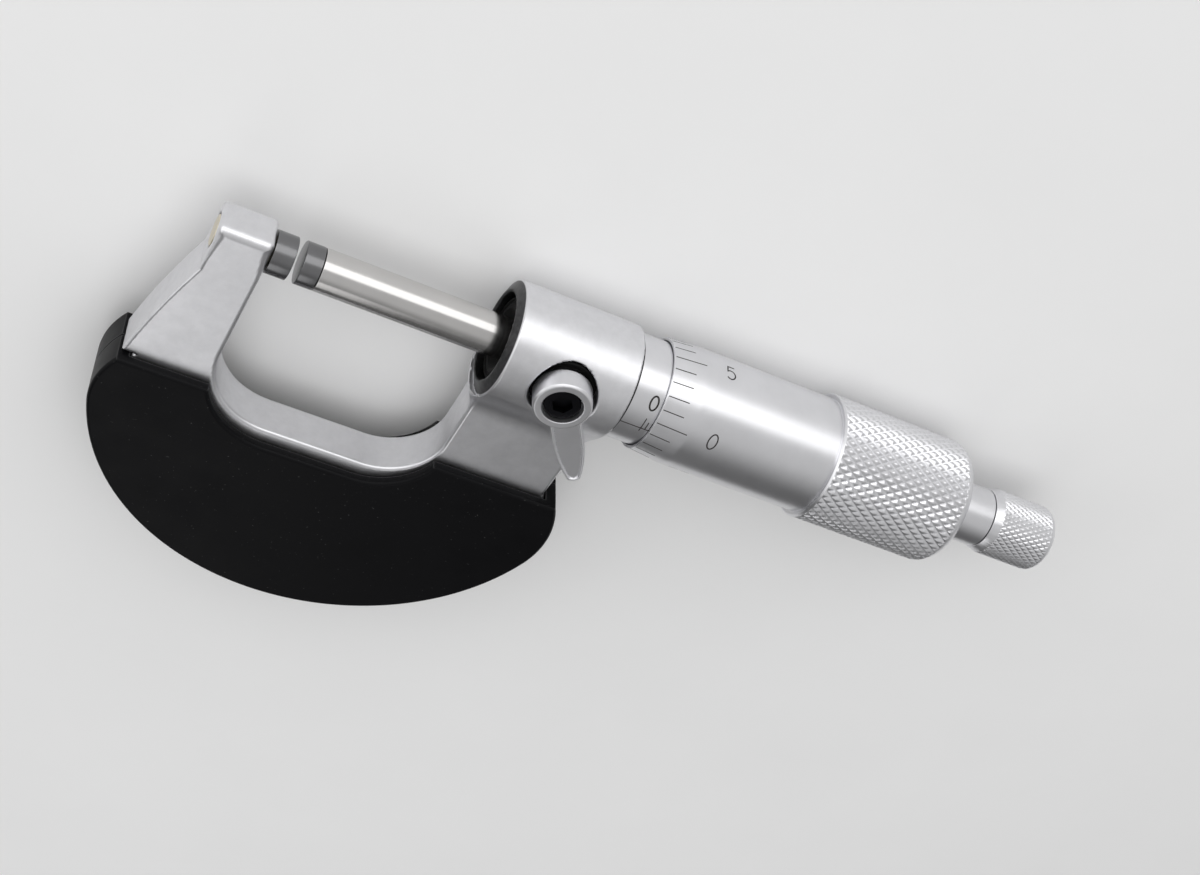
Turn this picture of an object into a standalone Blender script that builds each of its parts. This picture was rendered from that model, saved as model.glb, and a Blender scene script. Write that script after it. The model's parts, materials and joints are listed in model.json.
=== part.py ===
"""Outside micrometer, 0 to 1 inch, lying on its back with its lock lever up.

X runs along the spindle from the anvil to the ratchet. Y lies in the plane of the frame, which
bows towards -Y. Z points up, out of the front. Sizes are in millimetres, counted along X from
the anvil's measuring face, and become metres where a mesh is made. Every piece hangs on the empty
"datum", which puts the centre of the anvil's outer end at the origin.
"""

import math

import bmesh
import bpy
from mathutils import Matrix, Vector

MM = 0.001

# How far the spindle stands from the anvil in the photograph: the scale reads 0.049 inch.
READING = 1.2446

# Clearances
SEAT = 0.2
SLIP = 0.3
BRAZED = 0.15

# Broken edges, and how far a cutter reaches past what it cuts
FINE_BEVEL = 0.1
BEVEL = 0.2
WIDE_BEVEL = 0.3
PAST = 2.0

# Facets round a circle: large turned pieces, middling ones, and small or hidden ones
FINE_FACETS = 48
MIDDLE_FACETS = 32
COARSE_FACETS = 24

# Radii round the spindle's axis, from the inside out
SPINDLE_RADIUS = 3.175
THREAD_STEP = 0.575
NUT_RELIEF = 1.15
NUT_WALL = 1.6
SLEEVE_WALL = 1.24
BARREL_WALL = 0.76
GRIP_STEP = 0.8
HUB_WALL = 2.06
THREAD_RADIUS = SPINDLE_RADIUS + THREAD_STEP
NUT_RELIEF_RADIUS = THREAD_RADIUS + NUT_RELIEF
NUT_RADIUS = NUT_RELIEF_RADIUS + NUT_WALL
SLEEVE_RADIUS = NUT_RADIUS + SLIP + SLEEVE_WALL
THIMBLE_RADIUS = SLEEVE_RADIUS + SLIP + BARREL_WALL
GRIP_RADIUS = THIMBLE_RADIUS + GRIP_STEP
HUB_RADIUS = NUT_RADIUS + SLIP + HUB_WALL

# Hub, and where the lock stands on it
HUB_NOSE = 31.0
HUB_LENGTH = 19.65
HUB_NOSE_SLANT = 0.8
HUB_NOSE_STEP = 1.66
HUB_EDGE = 0.3
NOSE_WALL = 0.5
LOCK_SETBACK = 10.33
LOCK_Y = 0.8
LOCK_RECESS_RADIUS = 5.0
LOCK_WALL_LEFT = 1.03
LOCK_WALL_RIGHT = 0.47
HUB_RIGHT = HUB_NOSE + HUB_LENGTH
HUB_RIM = HUB_NOSE + HUB_NOSE_SLANT
HUB_NOSE_RADIUS = HUB_RADIUS - HUB_NOSE_STEP
NOSE_BORE_RADIUS = HUB_NOSE_RADIUS - NOSE_WALL
LOCK_X = HUB_NOSE + LOCK_SETBACK
NOSE_BORE_END = LOCK_X - LOCK_RECESS_RADIUS - LOCK_WALL_LEFT
MAIN_BORE_START = LOCK_X + LOCK_RECESS_RADIUS + LOCK_WALL_RIGHT

# Frame plate
PLATE_HALF = 3.5
PLATE_EDGE = 0.7
HEAD_LEFT = -11.2
HEAD_RIGHT = -3.25
HEAD_TOP = 3.4
HEAD_CORNER = 0.8
ARM_BEND = (-11.2, -4.5)
ARM_MIDDLE = (-14.0, -14.0)
ARM_FOOT = (-16.0, -23.5)
THROAT_LEFT = ((7.75, -18.3), 11.0)
THROAT_RIGHT = ((22.9, -19.8), 9.5)
WEB_STEP = 0.15
WEB_TOP = -4.0

# Outer edge of the covers: the bow and the two tighter arcs that close it in at its ends
BOW = ((18.5, -24.0), 37.5)
FLANK_LEFT = ((-4.68, -30.41), 13.45)
FLANK_RIGHT = ((38.58, -31.42), 16.09)
BOW_LEFT = -164.53
BOW_RIGHT = -20.29

# Covers
COVER_FLOOR = 1.45
COVER_EDGE = 0.6
COVER_WALL = 1.5
COVER_TOP_LEFT = -23.8
COVER_TOP_RIGHT = -23.5
COVER_THROAT_LEFT = ((8.2, -19.5), 11.8)
COVER_THROAT_RIGHT = ((22.0, -20.7), 10.6)
COVER_SEAM = 0.3
PEGS = ((-8.3, -27.5), (18.5, -45.5), (41.0, -29.5))
PEG_RADIUS = 1.7
COVER_FACE = PLATE_HALF + SLIP + COVER_FLOOR

# Anvil and tips
FACE_CHAMFER = 0.12
ANVIL_SHANK_RADIUS = 2.3
TIP_LENGTH = 2.65

# Seal in the hub's nose
SEAL_SETBACK = 1.0
SEAL_LIP_LENGTH = 1.0
SEAL_LIP_RISE = 1.2

# Graduated sleeve
SLEEVE_LENGTH = 29.65
SPANNER_HOLE_SETBACK = 2.15
SPANNER_HOLE_RADIUS = 0.6
SPANNER_HOLE_FACETS = 16
SCALE_ZERO_SETBACK = 3.55
SLEEVE_START = HUB_RIGHT + SEAT
SLEEVE_END = SLEEVE_START + SLEEVE_LENGTH
SCALE_ZERO = SLEEVE_START + SCALE_ZERO_SETBACK

# Nut that closes the slotted end of the spindle nut to take up wear
ADJUSTER_WIDTH = 3.0
ADJUSTER_STEP = 0.9
ADJUSTER_NOTCHES = 4
ADJUSTER_NOTCH_LENGTH = 2.5
ADJUSTER_NOTCH_WIDTH = 1.4
ADJUSTER_NOTCH_DEPTH = 0.7
ADJUSTER_RADIUS = NUT_RADIUS + ADJUSTER_STEP

# Spindle nut, which fills the hub's main bore and carries the graduated sleeve
NUT_SEAT_DEPTH = 0.9
NUT_SHOULDER = 0.5
NUT_THREAD_LENGTH = 13.7
NUT_SLOT_SETBACK = 2.5
NUT_SLOT_WIDTH = 0.8
NUT_SLOTS = 3
NUT_SEAT_RADIUS = NUT_RADIUS - NUT_SEAT_DEPTH
NUT_SEAT_START = SLEEVE_END + FINE_BEVEL
NUT_END = NUT_SEAT_START + ADJUSTER_WIDTH + 2 * SLIP
NUT_THREAD_START = NUT_END - NUT_THREAD_LENGTH
NUT_SLOT_START = NUT_THREAD_START + NUT_SLOT_SETBACK

# Spindle, and the places along it where the thimble sits on its taper
THREAD_CLEAR = 0.4
THREAD_RUN_OUT = 0.6
NUT_CLEAR = 1.8
THREAD_OVERLAP = 1.5
UNDERCUT_LENGTH = 0.5
UNDERCUT_DEPTH = 0.15
TAPER_LENGTH = 12.2
TAPER_FALL = 0.7
SPINDLE_TAP_DEPTH = 8.2
THREAD_START = MAIN_BORE_START + READING + THREAD_CLEAR
THIMBLE_WALL = NUT_END + NUT_CLEAR
THREAD_END = THIMBLE_WALL + THREAD_OVERLAP
TAPER_START = THREAD_END + UNDERCUT_LENGTH
TAPER_WIDE = THREAD_RADIUS - UNDERCUT_DEPTH
TAPER_NARROW = TAPER_WIDE - TAPER_FALL
SPINDLE_END = TAPER_START + TAPER_LENGTH
SPINDLE_TAP_START = SPINDLE_END - SPINDLE_TAP_DEPTH

# Thimble
THIMBLE_CHAMFER = 0.15
TAPER_ROOM = 0.4
NARROW_LENGTH = 5.2
NARROW_ROOM = 0.9
POCKET_DEPTH = 2.7
GRIP_LENGTH = 24.5
GRIP_CHAMFER = 0.25
GRIP_ROUND = 3.1
THIMBLE_EDGE = SCALE_ZERO + READING
THIMBLE_STEP = SPINDLE_END + TAPER_ROOM
THIMBLE_POCKET = THIMBLE_STEP + NARROW_LENGTH
GRIP_END = THIMBLE_POCKET + POCKET_DEPTH
GRIP_START = GRIP_END - GRIP_LENGTH
GRIP_SHOULDER = GRIP_END - GRIP_ROUND

# Ratchet stop: neck and stem
NECK_RADIUS = 4.68
NECK_LENGTH = 6.4
WASHER_WIDTH = 0.8
STEM_THREAD_CLEAR = 1.0
STEM_THREAD_RADIUS = 1.5
STEM_RADIUS = 1.6
END_SCREW_RADIUS = 0.7
STEM_TAP_SLIP = 0.25
STEM_TAP_DEPTH = 4.8
NECK_END = GRIP_END + NECK_LENGTH
STEM_THREAD_START = SPINDLE_TAP_START + STEM_THREAD_CLEAR
STEM_TAP_RADIUS = END_SCREW_RADIUS + STEM_TAP_SLIP
THIMBLE_NARROW_RADIUS = STEM_THREAD_RADIUS + NARROW_ROOM

# Ratchet stop: knob
CAP_STEP = 0.62
CAP_CONE_RISE = 0.55
CAP_CONE_LENGTH = 1.3
CAP_LENGTH = 11.8
CAP_ROUND = 2.0
CAP_WALL = 0.9
CAP_FLOOR = 2.6
CAP_RECESS_DEPTH = 2.4
CAP_RECESS_ROOM = 0.4
END_SCREW_HEAD_RADIUS = 2.5
END_SCREW_HEAD_WIDTH = 1.3
END_SCREW_SLOT = 0.7
END_SCREW_SLOT_DEPTH = 0.6
CAP_RADIUS = NECK_RADIUS + CAP_STEP
CAP_START_RADIUS = CAP_RADIUS - CAP_CONE_RISE
CAP_BORE_RADIUS = CAP_RADIUS - CAP_WALL
CAP_RECESS_RADIUS = END_SCREW_HEAD_RADIUS + CAP_RECESS_ROOM
CAP_START = NECK_END + SLIP
CAP_CONE_END = CAP_START + CAP_CONE_LENGTH
CAP_END = CAP_START + CAP_LENGTH
CAP_SHOULDER = CAP_END - CAP_ROUND
CAP_RECESS_START = CAP_END - CAP_RECESS_DEPTH
CAP_BORE_END = CAP_RECESS_START - CAP_FLOOR
STEM_END = CAP_RECESS_START - SLIP
STEM_TAP_START = STEM_END - STEM_TAP_DEPTH

# Ratchet stop: teeth, clutch and spring
RATCHET_TEETH = 12
TOOTH_WIDTH = 0.95
TOOTH_HEIGHT = 0.75
TOOTH_ROOT = 0.5
TOOTH_RUN_OUT = 0.6
TOOTH_GAP = 0.12
TOOTH_STEP_IN = 0.5
CLUTCH_WIDTH = 2.1
KEYS = 2
KEY_WIDTH = 1.2
KEY_HEIGHT = 0.45
KEYWAY_STOP = 1.0
SPRING_ROOM = 1.3
SPRING_WIRE = 0.3
SPRING_TURNS = 4
SPRING_STEPS = 14
CLUTCH_START = NECK_END + SLIP
CLUTCH_INNER = STEM_RADIUS + SLIP
CLUTCH_OUTER = CAP_BORE_RADIUS - SLIP
TOOTH_INNER = CLUTCH_INNER + TOOTH_STEP_IN
TOOTH_OUTER = CLUTCH_OUTER - FINE_BEVEL
SPRING_RADIUS = STEM_RADIUS + SPRING_ROOM

# Lever lock, whose heights follow the hub
LOCK_RECESS_DEPTH = 3.46
LOCK_HOLE_BOTTOM = 1.0
STUD_RADIUS = 2.0
SHOE_HEIGHT = 1.175
SKIRT_HEIGHT = 1.3
KNOB_HEIGHT = 2.04
KNOB_STEP_IN = 0.7
KNOB_WALL = 1.3
KNOB_CHAMFER = 0.45
KNOB_BORE_DEPTH = 2.3
SEAL_WIDTH = 1.1
LOCK_SCREW_RADIUS = 1.0
LOCK_SCREW_SETBACK = 0.6
LOCK_SCREW_HEX = 1.6
LOCK_SCREW_HEX_DEPTH = 1.0
LOCK_FLOOR = HUB_RADIUS - LOCK_RECESS_DEPTH
SHOE_BOTTOM = SPINDLE_RADIUS + SLIP
SHOE_TOP = SHOE_BOTTOM + SHOE_HEIGHT
SEAL_OUTER = LOCK_RECESS_RADIUS - SEAT
SEAL_INNER = SEAL_OUTER - SEAL_WIDTH
KNOB_SKIRT_RADIUS = SEAL_INNER - SLIP
KNOB_BOTTOM = LOCK_FLOOR + SLIP
KNOB_SKIRT_TOP = KNOB_BOTTOM + SKIRT_HEIGHT
SEAL_TOP = KNOB_SKIRT_TOP - SLIP
KNOB_FACE = HUB_RADIUS + KNOB_HEIGHT
KNOB_RADIUS = LOCK_RECESS_RADIUS - KNOB_STEP_IN
KNOB_BORE_RADIUS = KNOB_RADIUS - KNOB_WALL
KNOB_BORE_FLOOR = KNOB_FACE - KNOB_BORE_DEPTH
STUD_TOP = KNOB_BORE_FLOOR - SEAT
STUD_TAP_RADIUS = LOCK_SCREW_RADIUS + SLIP
STUD_TAP_BOTTOM = LOCK_FLOOR + SEAT
LOCK_SCREW_HEAD_TOP = KNOB_FACE - LOCK_SCREW_SETBACK

# The lever's tongue, along +X before it is turned to its place
TONGUE_ANGLE = -57.0
TONGUE_THICKNESS = 0.8
TONGUE_LENGTH = 12.0
TONGUE_HALF = 2.25
TONGUE_BITE = 0.9
TONGUE_STRAIGHT = 4.7
TONGUE_CURVE_LENGTH = 3.4
TONGUE_CURVE_FALL = 0.42
TONGUE_TIP_RADIUS = 1.4
TONGUE_TIP_ANGLE = 65.0
TONGUE_RIM = 0.45
TONGUE_DISH = 0.2
TONGUE_BOTTOM = HUB_RADIUS
TONGUE_TOP = TONGUE_BOTTOM + TONGUE_THICKNESS
TONGUE_ROOT = KNOB_RADIUS - TONGUE_BITE
TONGUE_SHOULDER = KNOB_RADIUS + TONGUE_STRAIGHT
TONGUE_TIP = KNOB_RADIUS + TONGUE_LENGTH

# Colours, and how metallic and how rough each surface is
SATIN = ((0.62, 0.62, 0.64), 1.0, 0.34)
STEEL = ((0.56, 0.56, 0.58), 1.0, 0.22)
CARBIDE = ((0.30, 0.31, 0.32), 1.0, 0.30)
BRONZE = ((0.52, 0.40, 0.22), 1.0, 0.35)
SPRING_STEEL = ((0.45, 0.45, 0.48), 1.0, 0.30)
BLACK_PLASTIC = ((0.025, 0.025, 0.028), 0.0, 0.45)
BLACK_RUBBER = ((0.015, 0.015, 0.016), 0.0, 0.65)
BLACK_OXIDE = ((0.03, 0.03, 0.035), 0.8, 0.40)


def start():
    """Clears the startup scene, and makes the two collections and the datum."""
    for thing in list(bpy.data.objects):
        bpy.data.objects.remove(thing, do_unlink=True)
    found = []
    for name in ("outside_micrometer", "cutters"):
        group = bpy.data.collections.new(name)
        bpy.context.scene.collection.children.link(group)
        found.append(group)
    datum = bpy.data.objects.new("datum", None)
    datum.location = (-HEAD_LEFT * MM, 0, 0)
    found[0].objects.link(datum)
    return found + [datum]


PIECES, CUTTERS, DATUM = start()


def finish_piece(piece, surface):
    """Gives a piece its own material and its shading."""
    colour, metallic, roughness = surface
    material = bpy.data.materials.new(piece.name)
    material.use_nodes = True
    shader = material.node_tree.nodes["Principled BSDF"]
    shader.inputs["Base Color"].default_value = (*colour, 1.0)
    shader.inputs["Metallic"].default_value = metallic
    shader.inputs["Roughness"].default_value = roughness
    piece.data.materials.clear()
    piece.data.materials.append(material)
    piece.data.shade_smooth()
    piece.data.set_sharp_from_angle(angle=math.radians(35))
    return piece


def add(name, mesh, cutter=False):
    """Puts a mesh in the scene, as a piece or as a helper that isn't rendered."""
    thing = bpy.data.objects.new(name, mesh)
    (CUTTERS if cutter else PIECES).objects.link(thing)
    thing.parent = DATUM
    thing.hide_render = cutter
    if cutter:
        thing.display_type = "WIRE"
    return thing


def combine(piece, other, operation):
    step = piece.modifiers.new(f"{operation.lower()} {other.name}", "BOOLEAN")
    step.operation = operation
    step.object = other
    step.solver = "EXACT"


def cut(piece, *cutters):
    for cutter in cutters:
        combine(piece, cutter, "DIFFERENCE")


def join(piece, *others):
    for other in others:
        combine(piece, other, "UNION")


def arc(circle, start_angle, end_angle, steps, grow=0.0):
    """Points along an arc of (centre, radius), in degrees from +X."""
    (x, y), radius = circle
    found = []
    for i in range(steps + 1):
        angle = math.radians(start_angle + (end_angle - start_angle) * i / steps)
        found.append((x + (radius + grow) * math.cos(angle), y + (radius + grow) * math.sin(angle)))
    return found


def arc_through(first, middle, last, steps):
    """Points along the arc through three points."""
    (ax, ay), (bx, by), (cx, cy) = first, middle, last
    d = 2 * (ax * (by - cy) + bx * (cy - ay) + cx * (ay - by))
    squares = [x * x + y * y for x, y in (first, middle, last)]
    x = (squares[0] * (by - cy) + squares[1] * (cy - ay) + squares[2] * (ay - by)) / d
    y = (squares[0] * (cx - bx) + squares[1] * (ax - cx) + squares[2] * (bx - ax)) / d
    angles = [math.degrees(math.atan2(py - y, px - x)) for px, py in (first, last)]
    turn = (angles[1] - angles[0] + 180) % 360 - 180
    return arc(((x, y), math.hypot(ax - x, ay - y)), angles[0], angles[0] + turn, steps)


def plate(name, outline, low, high, edge=0.0, cutter=False):
    """A flat piece between two heights, with its edges rounded."""
    curve = bpy.data.curves.new(name, "CURVE")
    curve.dimensions = "2D"
    curve.fill_mode = "BOTH"
    curve.extrude = ((high - low) / 2 - edge) * MM
    curve.bevel_depth = edge * MM
    curve.bevel_resolution = 1
    curve.offset = -edge * MM
    spline = curve.splines.new("POLY")
    spline.points.add(len(outline) - 1)
    for point, (x, y) in zip(spline.points, outline):
        point.co = (x * MM, y * MM, 0, 1)
    spline.use_cyclic_u = True
    drawn = bpy.data.objects.new(name + "_outline", curve)
    bpy.context.scene.collection.objects.link(drawn)
    drawn.parent = DATUM
    drawn.location.z = (low + high) / 2 * MM
    bpy.context.view_layer.update()
    ready = drawn.evaluated_get(bpy.context.evaluated_depsgraph_get())
    mesh = bpy.data.meshes.new_from_object(ready)
    mesh.name = name
    made = add(name, mesh, cutter)
    made.matrix_world = drawn.matrix_world.copy()
    bpy.data.objects.remove(drawn, do_unlink=True)
    weld(mesh)
    return made


def weld(mesh):
    work = bmesh.new()
    work.from_mesh(mesh)
    bmesh.ops.remove_doubles(work, verts=work.verts, dist=0.001 * MM)
    work.to_mesh(mesh)
    work.free()


def turned(name, profile, steps, cutter=False, upright=False):
    """A turned piece. The profile's (distance along the axis, radius) points run from the far end
    along the outside to the near end, and back along the bore. Upright pieces stand on Z."""
    mesh = bpy.data.meshes.new(name)
    points = [(radius * MM, 0.0, along * MM) for along, radius in profile]
    links = [(i, i + 1) for i in range(len(points) - 1)]
    if profile[0][1] > 0:
        links.append((len(points) - 1, 0))
    mesh.from_pydata(points, links, [])
    made = add(name, mesh, cutter)
    if not upright:
        made.rotation_euler = (0, math.pi / 2, 0)
    screw = made.modifiers.new("turned", "SCREW")
    screw.axis = "Z"
    screw.steps = steps
    screw.render_steps = steps
    screw.use_merge_vertices = True
    screw.merge_threshold = 0.001 * MM
    screw.use_smooth_shade = True
    return made


def rod(name, radius, low, high, at=(0.0, 0.0), steps=COARSE_FACETS):
    """An upright round cutter or boss."""
    made = turned(name, ((high, 0), (high, radius), (low, radius), (low, 0)), steps, True, True)
    made.location = (at[0] * MM, at[1] * MM, 0)
    return made


def block(name, size, centre, turn=0.0):
    """A box to cut with or to add, turned about the spindle's axis."""
    mesh = bpy.data.meshes.new(name)
    work = bmesh.new()
    bmesh.ops.create_cube(work, size=1.0)
    bmesh.ops.scale(work, vec=Vector(size) * MM, verts=work.verts)
    bmesh.ops.translate(work, vec=Vector(centre) * MM, verts=work.verts)
    bmesh.ops.rotate(work, matrix=Matrix.Rotation(turn, 3, "X"), verts=work.verts)
    work.to_mesh(mesh)
    work.free()
    return add(name, mesh, True)


def outer_edge(inset, top_left, top_right):
    """The covers' outer edge, or a line inside it, from its right end round to its left end."""
    right_radius = FLANK_RIGHT[1] - inset
    left_radius = FLANK_LEFT[1] - inset
    right_end = math.degrees(math.asin((top_right - FLANK_RIGHT[0][1]) / right_radius))
    left_end = math.degrees(math.asin((top_left - FLANK_LEFT[0][1]) / left_radius))
    found = arc(FLANK_RIGHT, right_end, BOW_RIGHT, 6, -inset)
    found += arc(BOW, BOW_RIGHT, BOW_LEFT, 30, -inset)[1:]
    found += arc(FLANK_LEFT, BOW_LEFT, -180 - left_end, 6, -inset)[1:]
    return found


def frame_outline():
    corner_y = HEAD_TOP - HEAD_CORNER
    left_corner = ((HEAD_LEFT + HEAD_CORNER, corner_y), HEAD_CORNER)
    right_corner = ((HEAD_RIGHT - HEAD_CORNER, corner_y), HEAD_CORNER)
    inset = COVER_WALL + SLIP
    found = arc(left_corner, 180, 90, 3)
    found += arc(right_corner, 90, 0, 3)
    found += arc(THROAT_LEFT, 180, 270, 9)
    found += arc(THROAT_RIGHT, 270, 360, 9)
    found += [(THROAT_RIGHT[0][0] + THROAT_RIGHT[1], WEB_TOP), (HUB_RIGHT - WEB_STEP, WEB_TOP)]
    found += outer_edge(inset, ARM_FOOT[1], COVER_TOP_RIGHT + SLIP)
    found += arc_through(ARM_FOOT, ARM_MIDDLE, ARM_BEND, 5)
    return found


def make_frame():
    frame = plate("frame", frame_outline(), -PLATE_HALF, PLATE_HALF, PLATE_EDGE)
    hub_profile = (
        (HUB_RIGHT, 0),
        (HUB_RIGHT, HUB_RADIUS - HUB_EDGE),
        (HUB_RIGHT - HUB_EDGE, HUB_RADIUS),
        (HUB_RIM, HUB_RADIUS),
        (HUB_NOSE, HUB_NOSE_RADIUS),
        (HUB_NOSE, 0),
    )
    join(frame, turned("hub", hub_profile, FINE_FACETS, True))
    beyond = HUB_RIGHT + PAST
    before = HUB_NOSE - PAST
    bore_profile = (
        (beyond, 0),
        (beyond, NUT_RADIUS + SLIP),
        (MAIN_BORE_START, NUT_RADIUS + SLIP),
        (MAIN_BORE_START, SPINDLE_RADIUS + SLIP),
        (NOSE_BORE_END, SPINDLE_RADIUS + SLIP),
        (NOSE_BORE_END, NOSE_BORE_RADIUS),
        (before, NOSE_BORE_RADIUS),
        (before, 0),
    )
    cut(frame, turned("hub_bore", bore_profile, MIDDLE_FACETS, True))
    shank_hole = (
        (HEAD_RIGHT + PAST, 0),
        (HEAD_RIGHT + PAST, ANVIL_SHANK_RADIUS + SLIP),
        (HEAD_LEFT - PAST, ANVIL_SHANK_RADIUS + SLIP),
        (HEAD_LEFT - PAST, 0),
    )
    cut(frame, turned("shank_hole", shank_hole, COARSE_FACETS, True))
    lock_profile = (
        (HUB_RADIUS + PAST, 0),
        (HUB_RADIUS + PAST, LOCK_RECESS_RADIUS),
        (LOCK_FLOOR, LOCK_RECESS_RADIUS),
        (LOCK_FLOOR, STUD_RADIUS + SLIP),
        (LOCK_HOLE_BOTTOM, STUD_RADIUS + SLIP),
        (LOCK_HOLE_BOTTOM, 0),
    )
    lock_hole = turned("lock_hole", lock_profile, MIDDLE_FACETS, True, True)
    lock_hole.location = (LOCK_X * MM, LOCK_Y * MM, 0)
    cut(frame, lock_hole)
    reach = PLATE_HALF + PAST
    for i, place in enumerate(PEGS):
        cut(frame, rod(f"peg_hole_{i}", PEG_RADIUS + SLIP, -reach, reach, place))
    return finish_piece(frame, SATIN)


def cover_outline():
    (left_x, left_y), left_radius = COVER_THROAT_LEFT
    (right_x, right_y), right_radius = COVER_THROAT_RIGHT
    left_start = 180 + math.degrees(math.asin((left_y - COVER_TOP_LEFT) / left_radius))
    right_end = 360 - math.degrees(math.asin((right_y - COVER_TOP_RIGHT) / right_radius))
    found = outer_edge(0, COVER_TOP_LEFT, COVER_TOP_RIGHT)
    found += arc(COVER_THROAT_LEFT, left_start, 270, 7)
    found += arc(COVER_THROAT_RIGHT, 270, right_end, 7)
    return found


def make_cover(name, side):
    """A cover on the front (side 1) or the back (side -1): a tray that clips round the bow."""
    cover = plate(name, cover_outline(), -COVER_FACE, COVER_FACE, COVER_EDGE)
    pocket_outline = outer_edge(COVER_WALL, COVER_TOP_LEFT + PAST, COVER_TOP_RIGHT + PAST)
    depth = PLATE_HALF + SLIP
    pocket = plate(f"{name}_pocket", pocket_outline, -depth, depth, 0, True)
    cut(cover, pocket)
    low = COVER_SEAM / 2
    height = COVER_FACE + PAST
    across = 2 * (BOW[1] + PAST)
    centre = (*BOW[0], side * (low - height / 2))
    cut(cover, block(f"{name}_half", (across, across, height), centre))
    for i, place in enumerate(PEGS):
        ends = sorted((side * low, side * (depth + COVER_EDGE)))
        join(cover, rod(f"{name}_peg_{i}", PEG_RADIUS, ends[0], ends[1], place))
    return finish_piece(cover, BLACK_PLASTIC)


def make_anvil():
    shank = (
        (HEAD_RIGHT, 0),
        (HEAD_RIGHT, ANVIL_SHANK_RADIUS),
        (HEAD_LEFT + FACE_CHAMFER, ANVIL_SHANK_RADIUS),
        (HEAD_LEFT, ANVIL_SHANK_RADIUS - FACE_CHAMFER),
        (HEAD_LEFT, 0),
    )
    finish_piece(turned("anvil", shank, COARSE_FACETS), STEEL)
    make_tip("anvil_tip", HEAD_RIGHT + SEAT, 0, True)


def make_tip(name, left, right, face_on_right):
    """A carbide measuring tip with its face edge broken."""
    near = FACE_CHAMFER if not face_on_right else 0
    far = FACE_CHAMFER if face_on_right else 0
    profile = [(right, 0), (right, SPINDLE_RADIUS - far)]
    if far:
        profile.append((right - far, SPINDLE_RADIUS))
    if near:
        profile.append((left + near, SPINDLE_RADIUS))
    profile += [(left, SPINDLE_RADIUS - near), (left, 0)]
    return finish_piece(turned(name, profile, MIDDLE_FACETS), CARBIDE)


def make_nose_seal():
    inner = SPINDLE_RADIUS + SLIP
    outer = NOSE_BORE_RADIUS - SLIP
    left = HUB_NOSE + SEAL_SETBACK
    right = NOSE_BORE_END - SEAT
    profile = (
        (right, outer),
        (left + WIDE_BEVEL, outer),
        (left, outer - WIDE_BEVEL),
        (left, inner + SEAL_LIP_RISE),
        (left + SEAL_LIP_LENGTH, inner),
        (right, inner),
    )
    return finish_piece(turned("nose_seal", profile, MIDDLE_FACETS), BLACK_RUBBER)


def make_spindle_nut():
    bore = THREAD_RADIUS + SLIP
    profile = (
        (NUT_END, NUT_SEAT_RADIUS - WIDE_BEVEL),
        (NUT_END - WIDE_BEVEL, NUT_SEAT_RADIUS),
        (NUT_SEAT_START, NUT_SEAT_RADIUS),
        (NUT_SEAT_START - NUT_SHOULDER, NUT_RADIUS),
        (MAIN_BORE_START + SEAT, NUT_RADIUS),
        (MAIN_BORE_START + SEAT, NUT_RELIEF_RADIUS),
        (NUT_THREAD_START, NUT_RELIEF_RADIUS),
        (NUT_THREAD_START + THREAD_RUN_OUT, bore),
        (NUT_END, bore),
    )
    nut = turned("spindle_nut", profile, MIDDLE_FACETS)
    length = NUT_END - NUT_SLOT_START + PAST
    middle = NUT_SLOT_START + length / 2
    reach = NUT_RADIUS + PAST
    for i in range(NUT_SLOTS):
        size = (length, NUT_SLOT_WIDTH, reach)
        turn = 2 * math.pi * i / NUT_SLOTS
        cut(nut, block(f"nut_slot_{i}", size, (middle, 0, reach / 2), turn))
    return finish_piece(nut, STEEL)


def make_adjusting_nut():
    start_x = NUT_SEAT_START + SLIP
    end_x = start_x + ADJUSTER_WIDTH
    inner = NUT_SEAT_RADIUS + SLIP
    profile = (
        (end_x, ADJUSTER_RADIUS - WIDE_BEVEL),
        (end_x - WIDE_BEVEL, ADJUSTER_RADIUS),
        (start_x, ADJUSTER_RADIUS),
        (start_x, inner),
        (end_x, inner),
    )
    nut = turned("adjusting_nut", profile, MIDDLE_FACETS)
    size = (2 * ADJUSTER_NOTCH_LENGTH, ADJUSTER_NOTCH_WIDTH, 2 * ADJUSTER_NOTCH_DEPTH)
    for i in range(ADJUSTER_NOTCHES):
        turn = 2 * math.pi * i / ADJUSTER_NOTCHES
        cut(nut, block(f"adjuster_notch_{i}", size, (end_x, 0, ADJUSTER_RADIUS), turn))
    return finish_piece(nut, STEEL)


def make_sleeve():
    bore = NUT_RADIUS + SLIP
    profile = (
        (SLEEVE_END, SLEEVE_RADIUS - BEVEL),
        (SLEEVE_END - BEVEL, SLEEVE_RADIUS),
        (SLEEVE_START + FINE_BEVEL, SLEEVE_RADIUS),
        (SLEEVE_START, SLEEVE_RADIUS - FINE_BEVEL),
        (SLEEVE_START, bore),
        (SLEEVE_END, bore),
    )
    sleeve = turned("graduated_sleeve", profile, FINE_FACETS)
    place = (SLEEVE_START + SPANNER_HOLE_SETBACK, 0)
    low, high = -SLEEVE_RADIUS - PAST, -NUT_RADIUS
    cut(sleeve, rod("spanner_hole", SPANNER_HOLE_RADIUS, low, high, place, SPANNER_HOLE_FACETS))
    return finish_piece(sleeve, SATIN)


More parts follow.
